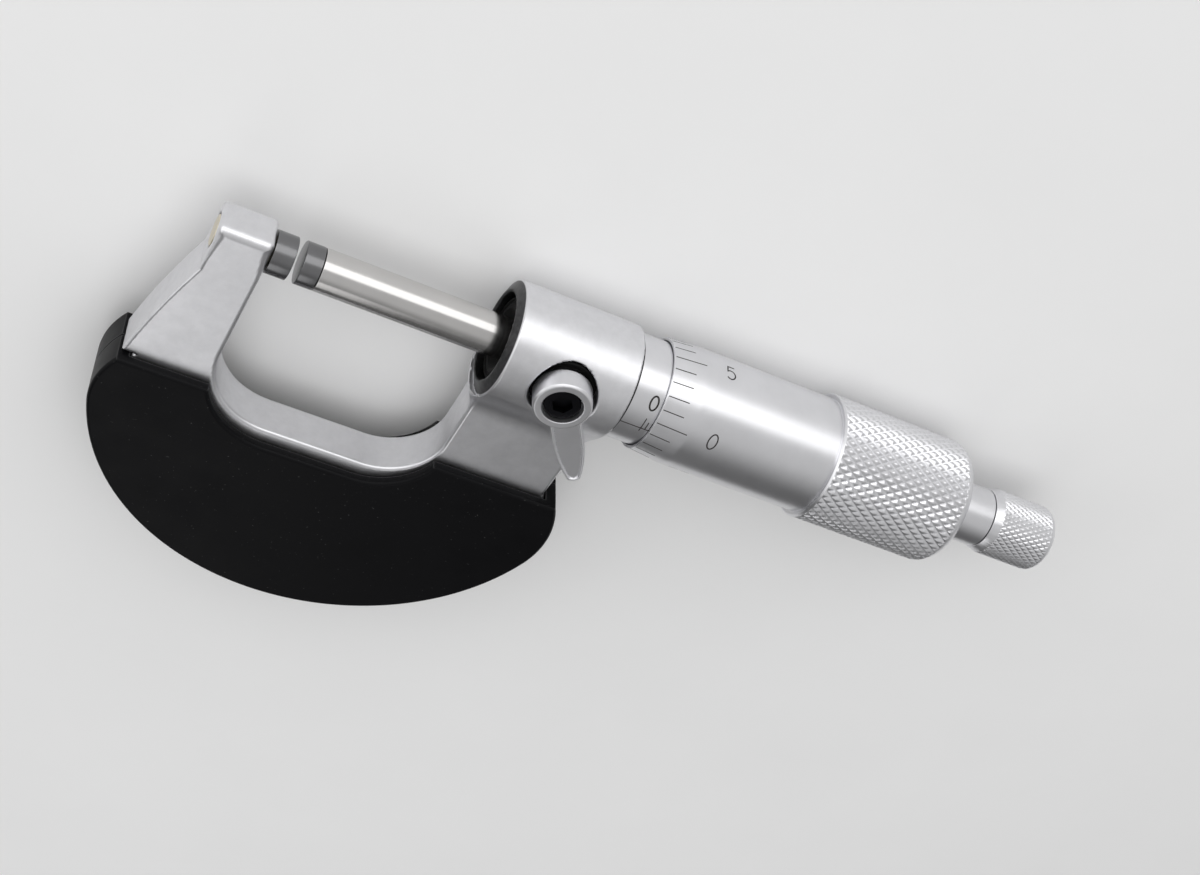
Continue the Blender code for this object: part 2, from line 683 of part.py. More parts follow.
def make_spindle():
    tip_right = READING + TIP_LENGTH
    make_tip("spindle_tip", READING, tip_right, False)
    profile = (
        (SPINDLE_TAP_START, 0),
        (SPINDLE_TAP_START, STEM_THREAD_RADIUS + SLIP),
        (SPINDLE_END, STEM_THREAD_RADIUS + SLIP),
        (SPINDLE_END, TAPER_NARROW),
        (TAPER_START, TAPER_WIDE),
        (THREAD_END, THREAD_RADIUS),
        (THREAD_START, THREAD_RADIUS),
        (THREAD_START - THREAD_RUN_OUT, SPINDLE_RADIUS),
        (tip_right + BRAZED, SPINDLE_RADIUS),
        (tip_right + BRAZED, 0),
    )
    return finish_piece(turned("spindle", profile, MIDDLE_FACETS), STEEL)


def make_thimble():
    bore = SLEEVE_RADIUS + SLIP
    corner = ((GRIP_SHOULDER, GRIP_RADIUS - GRIP_ROUND), GRIP_ROUND)
    profile = arc(corner, 0, 90, 5)
    profile += [
        (GRIP_START + GRIP_CHAMFER, GRIP_RADIUS),
        (GRIP_START, GRIP_RADIUS - GRIP_CHAMFER),
        (GRIP_START, THIMBLE_RADIUS),
        (THIMBLE_EDGE + THIMBLE_CHAMFER, THIMBLE_RADIUS),
        (THIMBLE_EDGE, THIMBLE_RADIUS - THIMBLE_CHAMFER),
        (THIMBLE_EDGE, bore),
        (THIMBLE_WALL, bore),
        (THIMBLE_WALL, THREAD_RADIUS + SLIP),
        (THREAD_END, THREAD_RADIUS + SLIP),
        (TAPER_START, TAPER_WIDE + SLIP),
        (SPINDLE_END, TAPER_NARROW + SLIP),
        (THIMBLE_STEP, TAPER_NARROW + SLIP),
        (THIMBLE_STEP, THIMBLE_NARROW_RADIUS),
        (THIMBLE_POCKET, THIMBLE_NARROW_RADIUS),
        (THIMBLE_POCKET, NECK_RADIUS + SLIP),
        (GRIP_END, NECK_RADIUS + SLIP),
    ]
    return finish_piece(turned("thimble", profile, FINE_FACETS), SATIN)


def make_washer():
    left = THIMBLE_POCKET + SEAT
    right = left + WASHER_WIDTH
    inner = STEM_THREAD_RADIUS + SLIP
    profile = ((right, NECK_RADIUS), (left, NECK_RADIUS), (left, inner), (right, inner))
    return finish_piece(turned("clamp_washer", profile, COARSE_FACETS), STEEL)


def ratchet_teeth(name, base, shrink):
    """A ring of saw teeth as one mesh, standing towards -X from the plane x = base."""
    width = TOOTH_WIDTH - 2 * shrink
    height = TOOTH_HEIGHT - shrink
    half_width = width / 2
    outline = ((-height, -half_width), (TOOTH_ROOT, -half_width), (TOOTH_ROOT, half_width), (0, half_width))
    middle = (TOOTH_INNER + TOOTH_OUTER) / 2
    half = (TOOTH_OUTER - TOOTH_INNER) / 2 + (0 if shrink else TOOTH_RUN_OUT)
    tooth = plate(f"{name}_one", outline, middle - half, middle + half, 0, True)
    work = bmesh.new()
    for i in range(RATCHET_TEETH):
        turn = Matrix.Rotation(2 * math.pi * i / RATCHET_TEETH, 4, "X")
        copy = tooth.data.copy()
        copy.transform(turn @ Matrix.Translation((base * MM, 0, 0)) @ tooth.matrix_basis)
        work.from_mesh(copy)
        bpy.data.meshes.remove(copy)
    mesh = bpy.data.meshes.new(name)
    bmesh.ops.recalc_face_normals(work, faces=work.faces)
    work.to_mesh(mesh)
    work.free()
    bpy.data.objects.remove(tooth, do_unlink=True)
    return add(name, mesh, True)


def make_ratchet_body():
    left = THIMBLE_POCKET + 2 * SEAT + WASHER_WIDTH
    profile = (
        (STEM_TAP_START, 0),
        (STEM_TAP_START, STEM_TAP_RADIUS),
        (STEM_END, STEM_TAP_RADIUS),
        (STEM_END, STEM_RADIUS),
        (NECK_END, STEM_RADIUS),
        (NECK_END, NECK_RADIUS - BEVEL),
        (NECK_END - BEVEL, NECK_RADIUS),
        (left, NECK_RADIUS),
        (left, STEM_THREAD_RADIUS),
        (STEM_THREAD_START, STEM_THREAD_RADIUS),
        (STEM_THREAD_START, 0),
    )
    body = turned("ratchet_body", profile, MIDDLE_FACETS)
    cut(body, ratchet_teeth("tooth_spaces", NECK_END, 0))
    return finish_piece(body, SATIN)


def make_clutch():
    right = CLUTCH_START + CLUTCH_WIDTH
    profile = (
        (right, CLUTCH_OUTER),
        (CLUTCH_START, CLUTCH_OUTER),
        (CLUTCH_START, CLUTCH_INNER),
        (right, CLUTCH_INNER),
    )
    clutch = turned("ratchet_clutch", profile, COARSE_FACETS)
    join(clutch, ratchet_teeth("clutch_teeth", CLUTCH_START, TOOTH_GAP))
    size = (CLUTCH_WIDTH, KEY_WIDTH, 2 * KEY_HEIGHT)
    centre = ((CLUTCH_START + right) / 2, 0, CLUTCH_OUTER)
    for i in range(KEYS):
        join(clutch, block(f"clutch_key_{i}", size, centre, 2 * math.pi * i / KEYS))
    return finish_piece(clutch, BRONZE)


def make_spring():
    left = CLUTCH_START + CLUTCH_WIDTH + SEAT + SPRING_WIRE
    right = CAP_BORE_END - SEAT - SPRING_WIRE
    curve = bpy.data.curves.new("ratchet_spring", "CURVE")
    curve.dimensions = "3D"
    curve.bevel_depth = SPRING_WIRE * MM
    curve.bevel_resolution = 1
    curve.use_fill_caps = True
    steps = SPRING_STEPS * SPRING_TURNS
    spline = curve.splines.new("POLY")
    spline.points.add(steps)
    for i, point in enumerate(spline.points):
        angle = 2 * math.pi * SPRING_TURNS * i / steps
        x = left + (right - left) * i / steps
        y = SPRING_RADIUS * math.cos(angle)
        z = SPRING_RADIUS * math.sin(angle)
        point.co = (x * MM, y * MM, z * MM, 1)
    drawn = bpy.data.objects.new("spring_line", curve)
    bpy.context.scene.collection.objects.link(drawn)
    bpy.context.view_layer.update()
    ready = drawn.evaluated_get(bpy.context.evaluated_depsgraph_get())
    mesh = bpy.data.meshes.new_from_object(ready)
    bpy.data.objects.remove(drawn, do_unlink=True)
    weld(mesh)
    return finish_piece(add("ratchet_spring", mesh), SPRING_STEEL)


def make_cap():
    corner = ((CAP_SHOULDER, CAP_RADIUS - CAP_ROUND), CAP_ROUND)
    profile = arc(corner, 0, 90, 4)
    profile += [
        (CAP_CONE_END, CAP_RADIUS),
        (CAP_START, CAP_START_RADIUS),
        (CAP_START, CAP_BORE_RADIUS),
        (CAP_BORE_END, CAP_BORE_RADIUS),
        (CAP_BORE_END, STEM_RADIUS + SLIP),
        (CAP_RECESS_START, STEM_RADIUS + SLIP),
        (CAP_RECESS_START, CAP_RECESS_RADIUS),
        (CAP_END, CAP_RECESS_RADIUS),
    ]
    cap = turned("ratchet_knob", profile, FINE_FACETS)
    left, right = CAP_START - PAST, CAP_BORE_END - KEYWAY_STOP
    size = (right - left, KEY_WIDTH + 2 * SEAT, 2 * (KEY_HEIGHT + SEAT))
    centre = ((left + right) / 2, 0, CLUTCH_OUTER)
    for i in range(KEYS):
        cut(cap, block(f"cap_keyway_{i}", size, centre, 2 * math.pi * i / KEYS))
    return finish_piece(cap, SATIN)


def make_end_screw():
    head = CAP_RECESS_START + SEAT
    top = head + END_SCREW_HEAD_WIDTH
    profile = (
        (top, 0),
        (top, END_SCREW_HEAD_RADIUS - BEVEL),
        (top - BEVEL, END_SCREW_HEAD_RADIUS),
        (head, END_SCREW_HEAD_RADIUS),
        (head, END_SCREW_RADIUS),
        (STEM_TAP_START + SLIP, END_SCREW_RADIUS),
        (STEM_TAP_START + SLIP, 0),
    )
    screw = turned("ratchet_screw", profile, COARSE_FACETS)
    size = (2 * END_SCREW_SLOT_DEPTH, 2 * (END_SCREW_HEAD_RADIUS + PAST), END_SCREW_SLOT)
    cut(screw, block("end_screw_slot", size, (top, 0, 0)))
    return finish_piece(screw, STEEL)


def tongue_outline(inset):
    """The lever's tongue along +X: parallel at the knob, then drawn in to a round tip."""
    tip = ((TONGUE_TIP - TONGUE_TIP_RADIUS, 0), TONGUE_TIP_RADIUS - inset)
    half = TONGUE_HALF - inset
    joint = arc(tip, TONGUE_TIP_ANGLE, TONGUE_TIP_ANGLE, 1)[0]
    middle = (TONGUE_SHOULDER + TONGUE_CURVE_LENGTH, half - TONGUE_CURVE_FALL)
    upper = [(TONGUE_ROOT, half)]
    upper += arc_through((TONGUE_SHOULDER, half), middle, joint, 4)
    lower = [(x, -y) for x, y in reversed(upper)]
    return upper + arc(tip, TONGUE_TIP_ANGLE, -TONGUE_TIP_ANGLE, 7)[1:-1] + lower


def make_lock():
    axis = bpy.data.objects.new("lock_axis", None)
    PIECES.objects.link(axis)
    axis.parent = DATUM
    axis.location = (LOCK_X * MM, LOCK_Y * MM, 0)
    seal_bottom = LOCK_FLOOR + SEAT
    seal_profile = (
        (SEAL_TOP, SEAL_OUTER - BEVEL),
        (SEAL_TOP - BEVEL, SEAL_OUTER),
        (seal_bottom, SEAL_OUTER),
        (seal_bottom, SEAL_INNER),
        (SEAL_TOP, SEAL_INNER),
    )
    seal = turned("lock_seal", seal_profile, MIDDLE_FACETS, upright=True)
    finish_piece(seal, BLACK_RUBBER)
    seal.location = axis.location
    shoe_profile = (
        (SHOE_TOP, 0),
        (SHOE_TOP, STUD_RADIUS),
        (SHOE_BOTTOM, STUD_RADIUS),
        (SHOE_BOTTOM, 0),
    )
    shoe = finish_piece(turned("lock_shoe", shoe_profile, COARSE_FACETS, upright=True), BRONZE)
    shoe.location = axis.location
    stud_profile = (
        (STUD_TAP_BOTTOM, 0),
        (STUD_TAP_BOTTOM, STUD_TAP_RADIUS),
        (STUD_TOP, STUD_TAP_RADIUS),
        (STUD_TOP, STUD_RADIUS),
        (SHOE_TOP + SEAT, STUD_RADIUS),
        (SHOE_TOP + SEAT, 0),
    )
    stud = finish_piece(turned("lock_stud", stud_profile, COARSE_FACETS, upright=True), STEEL)
    stud.parent = axis
    head_bottom = KNOB_BORE_FLOOR + SEAT
    head_radius = KNOB_BORE_RADIUS - SLIP
    screw_profile = (
        (LOCK_SCREW_HEAD_TOP, 0),
        (LOCK_SCREW_HEAD_TOP, head_radius - BEVEL),
        (LOCK_SCREW_HEAD_TOP - BEVEL, head_radius),
        (head_bottom, head_radius),
        (head_bottom, LOCK_SCREW_RADIUS),
        (STUD_TAP_BOTTOM + SLIP, LOCK_SCREW_RADIUS),
        (STUD_TAP_BOTTOM + SLIP, 0),
    )
    screw = turned("lock_screw", screw_profile, COARSE_FACETS, upright=True)
    finish_piece(screw, BLACK_OXIDE)
    screw.parent = axis
    floor = LOCK_SCREW_HEAD_TOP - LOCK_SCREW_HEX_DEPTH
    hexagon = rod("hex_socket", LOCK_SCREW_HEX, floor, LOCK_SCREW_HEAD_TOP + PAST, (0, 0), 6)
    hexagon.parent = axis
    cut(screw, hexagon)
    knob_profile = (
        (KNOB_FACE, 0),
        (KNOB_FACE, KNOB_RADIUS - KNOB_CHAMFER),
        (KNOB_FACE - KNOB_CHAMFER, KNOB_RADIUS),
        (KNOB_SKIRT_TOP, KNOB_RADIUS),
        (KNOB_SKIRT_TOP, KNOB_SKIRT_RADIUS),
        (KNOB_BOTTOM, KNOB_SKIRT_RADIUS),
        (KNOB_BOTTOM, 0),
    )
    lever = turned("lock_lever", knob_profile, MIDDLE_FACETS, upright=True)
    lever.parent = axis
    turn = math.radians(TONGUE_ANGLE)
    tongue = plate("tongue", tongue_outline(0), TONGUE_BOTTOM, TONGUE_TOP, 0, True)
    dish_bottom = TONGUE_TOP - TONGUE_DISH
    dish = plate("dish", tongue_outline(TONGUE_RIM), dish_bottom, TONGUE_TOP + PAST, 0, True)
    for shape in (tongue, dish):
        shape.parent = axis
        shape.rotation_euler = (0, 0, turn)
    cut(tongue, dish)
    join(lever, tongue)
    bore_profile = (
        (KNOB_FACE + PAST, 0),
        (KNOB_FACE + PAST, KNOB_BORE_RADIUS),
        (KNOB_BORE_FLOOR, KNOB_BORE_RADIUS),
        (KNOB_BORE_FLOOR, STUD_RADIUS + SLIP),
        (KNOB_BOTTOM - PAST, STUD_RADIUS + SLIP),
        (KNOB_BOTTOM - PAST, 0),
    )
    bore = turned("knob_bore", bore_profile, MIDDLE_FACETS, True, True)
    bore.parent = axis
    cut(lever, bore)
    return finish_piece(lever, SATIN)


def make_all():
    make_frame()
    make_cover("front_cover", 1)
    make_cover("rear_cover", -1)
    make_anvil()
    make_nose_seal()
    make_spindle_nut()
    make_adjusting_nut()
    make_sleeve()
    make_spindle()
    make_thimble()
    make_washer()
    make_ratchet_body()
    make_clutch()
    make_spring()
    make_cap()
    make_end_screw()
    make_lock()


make_all()
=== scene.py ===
"""Outside micrometer: its finished pieces, round the packed frame.

X runs along the spindle from the anvil to the ratchet, -Y towards the bow of the frame, and Z out
of the front. Places along X are counted from the anvil's measuring face, at FACE_X.
"""

import json
import math

import bmesh
import bpy
import numpy as np
from mathutils import Matrix, Vector

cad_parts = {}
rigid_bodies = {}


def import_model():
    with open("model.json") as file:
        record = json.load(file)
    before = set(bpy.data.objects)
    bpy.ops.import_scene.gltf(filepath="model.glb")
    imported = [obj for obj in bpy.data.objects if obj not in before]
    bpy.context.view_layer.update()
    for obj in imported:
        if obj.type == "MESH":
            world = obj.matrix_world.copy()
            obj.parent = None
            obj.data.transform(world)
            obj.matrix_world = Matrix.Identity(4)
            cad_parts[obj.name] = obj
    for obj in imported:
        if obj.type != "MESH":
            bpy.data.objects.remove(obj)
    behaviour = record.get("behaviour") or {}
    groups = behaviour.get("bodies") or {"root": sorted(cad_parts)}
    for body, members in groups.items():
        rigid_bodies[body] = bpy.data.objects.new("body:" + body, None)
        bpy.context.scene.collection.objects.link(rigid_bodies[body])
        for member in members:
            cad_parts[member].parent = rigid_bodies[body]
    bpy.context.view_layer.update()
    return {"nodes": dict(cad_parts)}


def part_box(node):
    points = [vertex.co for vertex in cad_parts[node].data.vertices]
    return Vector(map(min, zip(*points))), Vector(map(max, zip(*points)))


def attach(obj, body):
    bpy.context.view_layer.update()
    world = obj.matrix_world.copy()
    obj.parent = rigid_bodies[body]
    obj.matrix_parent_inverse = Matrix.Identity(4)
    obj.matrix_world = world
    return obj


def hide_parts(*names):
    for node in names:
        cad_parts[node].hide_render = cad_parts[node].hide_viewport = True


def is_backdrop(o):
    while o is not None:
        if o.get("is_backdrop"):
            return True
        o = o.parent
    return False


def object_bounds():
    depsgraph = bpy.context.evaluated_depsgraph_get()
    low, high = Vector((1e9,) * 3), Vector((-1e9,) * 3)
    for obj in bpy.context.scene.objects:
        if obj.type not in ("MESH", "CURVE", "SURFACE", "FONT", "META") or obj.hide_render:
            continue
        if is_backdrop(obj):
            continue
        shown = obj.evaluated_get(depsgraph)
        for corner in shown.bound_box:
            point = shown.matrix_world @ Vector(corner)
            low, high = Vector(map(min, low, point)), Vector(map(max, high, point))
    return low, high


bl_info = {
    "name": "Outside micrometer",
    "version": (1, 0, 0),
    "blender": (4, 5, 0),
    "location": "3D View > Sidebar > Micrometer",
    "description": "Builds an outside micrometer with a ratchet stop and a lever lock",
    "category": "Add Mesh",
}

for thing in list(bpy.data.objects):
    bpy.data.objects.remove(thing, do_unlink=True)
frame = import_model()

MM = 0.001
FACE_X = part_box("anvil_tip")[1].x


def metres(*millimetres):
    return tuple(value * MM for value in millimetres)


def length(name, millimetres, description):
    return bpy.props.FloatProperty(
        name=name,
        description=description,
        default=millimetres * MM,
        min=0.0,
        unit="LENGTH",
        precision=5,
    )


def colour(name, values, description):
    return bpy.props.FloatVectorProperty(
        name=name,
        description=description,
        default=values,
        min=0.0,
        max=1.0,
        subtype="COLOR",
    )


def roughness(name, value, description):
    return bpy.props.FloatProperty(
        name=name, description=description, default=value, min=0.0, max=1.0, subtype="FACTOR"
    )


# The clearance between pieces that fit into each other
CLEARANCE = 0.3 * MM

# The frame's head, its arm from the foot up, and the top of its web
HEAD_LEFT, HEAD_RIGHT, HEAD_TOP, HEAD_CORNER = metres(-11.2, -3.25, 3.4, 0.8)
ARM_FOOT, ARM_MIDDLE, ARM_BEND = metres(-16.0, -23.5), metres(-14.0, -14.0), metres(-11.2, -4.5)
WEB_RIGHT, WEB_TOP = metres(50.5, -4.0)

# Circles of the frame and the covers, as centre and radius, and the ends of the bow in degrees
THROAT_LEFT = metres(7.75, -18.3, 11.0)
THROAT_RIGHT = metres(22.9, -19.8, 9.5)
BOW = metres(18.5, -24.0, 37.5)
FLANK_LEFT = metres(-4.68, -30.41, 13.45)
FLANK_RIGHT = metres(38.58, -31.42, 16.09)
COVER_THROAT_LEFT = metres(8.2, -19.5, 11.8)
COVER_THROAT_RIGHT = metres(22.0, -20.7, 10.6)
BOW_LEFT = -164.53
BOW_RIGHT = -20.29

# The covers' top edges, the pegs that hold them, and the lock's axis
COVER_TOP_LEFT, COVER_TOP_RIGHT = metres(-23.8, -23.5)
PEGS = (metres(-8.3, -27.5), metres(18.5, -45.5), metres(41.0, -29.5))
LOCK_X, LOCK_Y = metres(41.33, 0.8)


class FrameSizes(bpy.types.PropertyGroup):
    """The satin frame with its hub."""

    half: length("Half thickness", 3.5, "Half the thickness of the plate")
    edge: length("Edge", 0.5, "Rounding along the plate's edges")
    head_edge: length("Head edge", 1.4, "Rounding round the head's top")
    fillet: length("Fillet", 4.2, "How widely the hub runs out into the plate")
    hub_radius: length("Hub radius", 8.86, "Radius of the hub round the spindle")
    recess_radius: length("Lock recess", 5.0, "Radius of the recess round the lock knob")
    cell: length("Mesh step", 0.3, "Distance between the mesh's points")


class CoverSizes(bpy.types.PropertyGroup):
    """The two black covers on the bow."""

    face: length("Face height", 5.25, "Height of the flat face above the frame's middle")
    edge: length("Edge", 0.6, "Rounding along the face's edge")
    wall: length("Wall", 1.5, "Thickness of the rim that clips round the bow")
    seam: length("Seam", 0.3, "Gap between the front and the rear cover")


class SpindleSizes(bpy.types.PropertyGroup):
    """The anvil, the spindle and their carbide tips."""

    radius: length("Radius", 3.175, "Radius of the spindle, an eighth of an inch")
    face_edge: length("Face edge", 0.12, "Bevel round the measuring faces")
    sides: bpy.props.IntProperty(
        name="Sides", description="Facets round the turned pieces", default=160, min=24
    )


class ScaleSizes(bpy.types.PropertyGroup):
    """The lines and numbers of the sleeve and the thimble."""

    pitch: length("Pitch", 0.635, "Travel of the spindle in one turn, a fortieth of an inch")
    sleeve_line: length("Sleeve line", 0.15, "Width of the sleeve's lines")
    thimble_line: length("Thimble line", 0.15, "Width of the thimble's lines")
    sleeve_stroke: length("Sleeve stroke", 0.27, "Width of the strokes of the sleeve's figures")
    thimble_stroke: length("Thimble stroke", 0.21, "Width of the strokes of the thimble's figures")
    sleeve_figure: length("Sleeve figure", 2.2, "Height of the sleeve's figures")
    thimble_figure: length("Thimble figure", 2.5, "Height of the thimble's figures")
    proud: length("Proud", 0.012, "How far the filled lines stand out of the surface")


class GripSizes(bpy.types.PropertyGroup):
    """The knurls of the thimble and of the ratchet knob."""

    depth: length("Thimble depth", 0.28, "Depth of the thimble's knurl")
    rim: length("Rim", 0.3, "Plain rim before the thimble's knurl")
    period: length("Thimble period", 2.2, "Length of one diamond along the thimble")
    count: bpy.props.IntProperty(
        name="Thimble diamonds", description="Diamonds round the thimble", default=44, min=8
    )
    knob_depth: length("Knob depth", 0.15, "Depth of the ratchet knob's knurl")
    knob_period: length("Knob period", 1.55, "Length of one diamond along the knob")
    knob_count: bpy.props.IntProperty(
        name="Knob diamonds", description="Diamonds round the ratchet knob", default=36, min=8
    )


class LockSizes(bpy.types.PropertyGroup):
    """The knob and lever of the lock."""

    knob_radius: length("Knob radius", 4.3, "Radius of the knob")
    knob_face: length("Knob face", 10.9, "Height of the knob's face")
    edge: length("Edge", 0.3, "Bevel round the knob's face")
    dish: length("Dish", 0.32, "Depth of the hollow along the lever")
    cell: length("Mesh step", 0.12, "Distance between the mesh's points")


class FinishColours(bpy.types.PropertyGroup):
    """Colours and roughness of the surfaces."""

    chrome: colour("Satin chrome", (0.74, 0.74, 0.76), "Frame, sleeve, thimble, ratchet and lock lever")
    chrome_rough: roughness("Chrome roughness", 0.36, "How matt the satin chrome is")
    steel: colour("Ground steel", (0.6, 0.59, 0.58), "Spindle and other ground pieces")
    carbide: colour("Carbide", (0.19, 0.19, 0.195), "Tips of the anvil and the spindle")
    cover: colour("Cover", (0.0025, 0.0025, 0.003), "The black covers")
    # Near black: the spindle's seal, and the painted shade of the ring round the lock knob
    rubber: colour("Seal", (0.002, 0.002, 0.002), "Rings round the spindle and the lock")
    ink: colour("Line fill", (0.02, 0.018, 0.018), "Fill of the engraved lines")
    bronze: colour("Bronze", (0.52, 0.4, 0.22), "Lock shoe and ratchet clutch")
    black: colour("Blackened steel", (0.012, 0.012, 0.014), "The lock's screw")
    floor: colour("Floor", (0.8, 0.8, 0.8), "The floor under the micrometer")


# How the shapes are made


def arc(circle, start, end, grow=0.0, step=2.0):
    """Points along an arc of a circle, from one angle to another in degrees from +X."""
    x, y, radius = circle
    angles = np.radians(np.linspace(start, end, max(1, round(abs(end - start) / step)) + 1))
    radius += grow
    return [(x + radius * math.cos(a), y + radius * math.sin(a)) for a in angles]


def arc_through(first, middle, last):
    """Points along the arc through three points."""
    (ax, ay), (bx, by), (cx, cy) = first, middle, last
    d = 2 * (ax * (by - cy) + bx * (cy - ay) + cx * (ay - by))
    squares = [x * x + y * y for x, y in (first, middle, last)]
    x = (squares[0] * (by - cy) + squares[1] * (cy - ay) + squares[2] * (ay - by)) / d
    y = (squares[0] * (cx - bx) + squares[1] * (ax - cx) + squares[2] * (bx - ax)) / d
    angles = [math.degrees(math.atan2(py - y, px - x)) for px, py in (first, last)]
    turn = (angles[1] - angles[0] + 180) % 360 - 180
    return arc((x, y, math.hypot(ax - x, ay - y)), angles[0], angles[0] + turn)


def outer_edge(inset, top_left, top_right):
    """The covers' outer edge, or a line inside it, from its right end round to its left end."""
    right = math.degrees(math.asin((top_right - FLANK_RIGHT[1]) / (FLANK_RIGHT[2] - inset)))
    left = math.degrees(math.asin((top_left - FLANK_LEFT[1]) / (FLANK_LEFT[2] - inset)))
    found = arc(FLANK_RIGHT, right, BOW_RIGHT, -inset)
    found += arc(BOW, BOW_RIGHT, BOW_LEFT, -inset)[1:]
    return found + arc(FLANK_LEFT, BOW_LEFT, -180 - left, -inset)[1:]


def frame_outline(inset):
    """The plate's outline, which lies inside the covers' edge by the inset."""
    corner = HEAD_CORNER
    found = arc((HEAD_LEFT + corner, HEAD_TOP - corner, corner), 180, 90, step=10)
    found += arc((HEAD_RIGHT - corner, HEAD_TOP - corner, corner), 90, 0, step=10)
    found += arc(THROAT_LEFT, 180, 270) + arc(THROAT_RIGHT, 270, 360)
    found += [(THROAT_RIGHT[0] + THROAT_RIGHT[2], WEB_TOP), (WEB_RIGHT, WEB_TOP)]
    found += outer_edge(inset, ARM_FOOT[1], COVER_TOP_RIGHT + CLEARANCE)
    return found + arc_through(ARM_FOOT, ARM_MIDDLE, ARM_BEND)


def cover_outline():
    """A cover's outline: round the bow, and back along its own throat edge."""
    left_y, left_radius = COVER_THROAT_LEFT[1:]
    right_y, right_radius = COVER_THROAT_RIGHT[1:]
    left_start = 180 + math.degrees(math.asin((left_y - COVER_TOP_LEFT) / left_radius))
    right_end = 360 - math.degrees(math.asin((right_y - COVER_TOP_RIGHT) / right_radius))
    inset = 0.04 * MM
    found = outer_edge(inset, COVER_TOP_LEFT, COVER_TOP_RIGHT)
    found += arc(COVER_THROAT_LEFT, left_start, 270)
    return found + arc(COVER_THROAT_RIGHT, 270, right_end)


def outline_distance(x, y, outline):
    """Distance from a closed outline, negative inside it."""
    nearest = np.full(np.broadcast(x, y).shape, np.inf)
    inside = np.zeros(nearest.shape, bool)
    for (ax, ay), (bx, by) in zip(outline, outline[1:] + outline[:1]):
        ex, ey = bx - ax, by - ay
        size = ex * ex + ey * ey
        if size < 1e-16:
            continue
        px, py = x - ax, y - ay
        along = np.clip((px * ex + py * ey) / size, 0, 1)
        nearest = np.minimum(nearest, (px - along * ex) ** 2 + (py - along * ey) ** 2)
        if ey:
            inside ^= ((ay > y) != (by > y)) & (px < ex * py / ey)
    return np.where(inside, -1, 1) * np.sqrt(nearest)


def joined(first, second, blend):
    """The distance from two solids as one, with a soft hollow of that width where they meet."""
    near = np.maximum(blend - np.abs(first - second), 0)
    return np.minimum(first, second) - near * near / (4 * blend)


def without(solid, hole, blend):
    """The distance from a solid less a hole, with its rim eased."""
    return -joined(-solid, hole, blend)


def slab(flat, height, half, edge):
    """An outline raised to a height each way, with rounded edges."""
    out, up = flat + edge, np.abs(height) - half + edge
    return np.minimum(np.maximum(out, up), 0) + np.hypot(np.maximum(out, 0), np.maximum(up, 0)) - edge


def surface_of(distance, grid):
    """Points, faces and normals of the surface where distance(x, y, z) is nought."""
    opened = np.ix_(*grid)
    field = np.broadcast_to(distance(*opened), [len(steps) for steps in grid])
    inside = field < 0
    halves = (slice(None, -1), slice(1, None))
    corners = [tuple(halves[c >> a & 1] for a in range(3)) for c in range(8)]
    total = sum(inside[c].astype(np.int8) for c in corners)
    active = (total > 0) & (total < 8)
    number = np.full(active.shape, -1)
    number[active] = np.arange(active.sum())
    cells = np.argwhere(active)
    points, crossings = np.zeros((len(cells), 3)), np.zeros(len(cells))
    places = [np.asarray(steps) for steps in grid]
    for c in range(8):
        for a in range(3):
            if c >> a & 1:
                continue
            low = cells + [c >> k & 1 for k in range(3)]
            high = low + [k == a for k in range(3)]
            f0, f1 = field[tuple(low.T)], field[tuple(high.T)]
            cross = (f0 < 0) != (f1 < 0)
            share = np.where(cross, f0 / np.where(cross, f0 - f1, 1), 0)[:, None]
            first = np.stack([places[k][low[:, k]] for k in range(3)], 1)
            last = np.stack([places[k][high[:, k]] for k in range(3)], 1)
            points += np.where(cross[:, None], first + share * (last - first), 0)
            crossings += cross
    points /= crossings[:, None]
    least = np.stack([places[k][cells[:, k]] for k in range(3)], 1)
    most = np.stack([places[k][cells[:, k] + 1] for k in range(3)], 1)
    margin = 0.01 * (most - least)
    for _ in range(3):
        value, slope = slope_of(distance, points)
        step = slope * (value / np.maximum((slope**2).sum(1), 0.05))[:, None]
        points = np.clip(points - step, least + margin, most - margin)
    normals = slope_of(distance, points)[1]
    normals /= np.linalg.norm(normals, axis=1)[:, None] + 1e-12
    faces = []
    for a in range(3):
        b, c = (a + 1) % 3, (a + 2) % 3
        cut = [slice(None)] * 3
        first, last = list(cut), list(cut)
        first[a], last[a] = slice(None, -1), slice(1, None)
        change = inside[tuple(first)] != inside[tuple(last)]
        keep = [slice(None)] * 3
        keep[b] = keep[c] = slice(1, -1)
        edges = np.argwhere(change[tuple(keep)])
        edges[:, b] += 1
        edges[:, c] += 1
        ring = []
        for ob, oc in ((-1, -1), (0, -1), (0, 0), (-1, 0)):
            cell = edges.copy()
            cell[:, b] += ob
            cell[:, c] += oc
            ring.append(number[tuple(cell.T)])
        quads = np.stack(ring, 1)
        outwards = inside[tuple(edges.T)]
        faces.append(np.where(outwards[:, None], quads, quads[:, ::-1]))
    return points, np.concatenate(faces), normals


def slope_of(distance, points):
    """The distance at each point, and its slope along X, Y and Z."""
    tiny = 2e-7
    slope = np.empty(points.shape)
    for a in range(3):
        shift = np.zeros(3)
        shift[a] = tiny
        high, low = (points + shift).T, (points - shift).T
        slope[:, a] = (distance(*high) - distance(*low)) / (2 * tiny)
    return distance(*points.T), slope


def put_piece(name, mesh, finish, body, stands_for=()):
    """Puts a mesh in the scene as a piece that moves with a body."""
    mesh.materials.append(finish)
    piece = bpy.data.objects.new(name, mesh)
    bpy.context.scene.collection.objects.link(piece)
    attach(piece, body)
    if stands_for:
        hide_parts(*stands_for)
    return piece


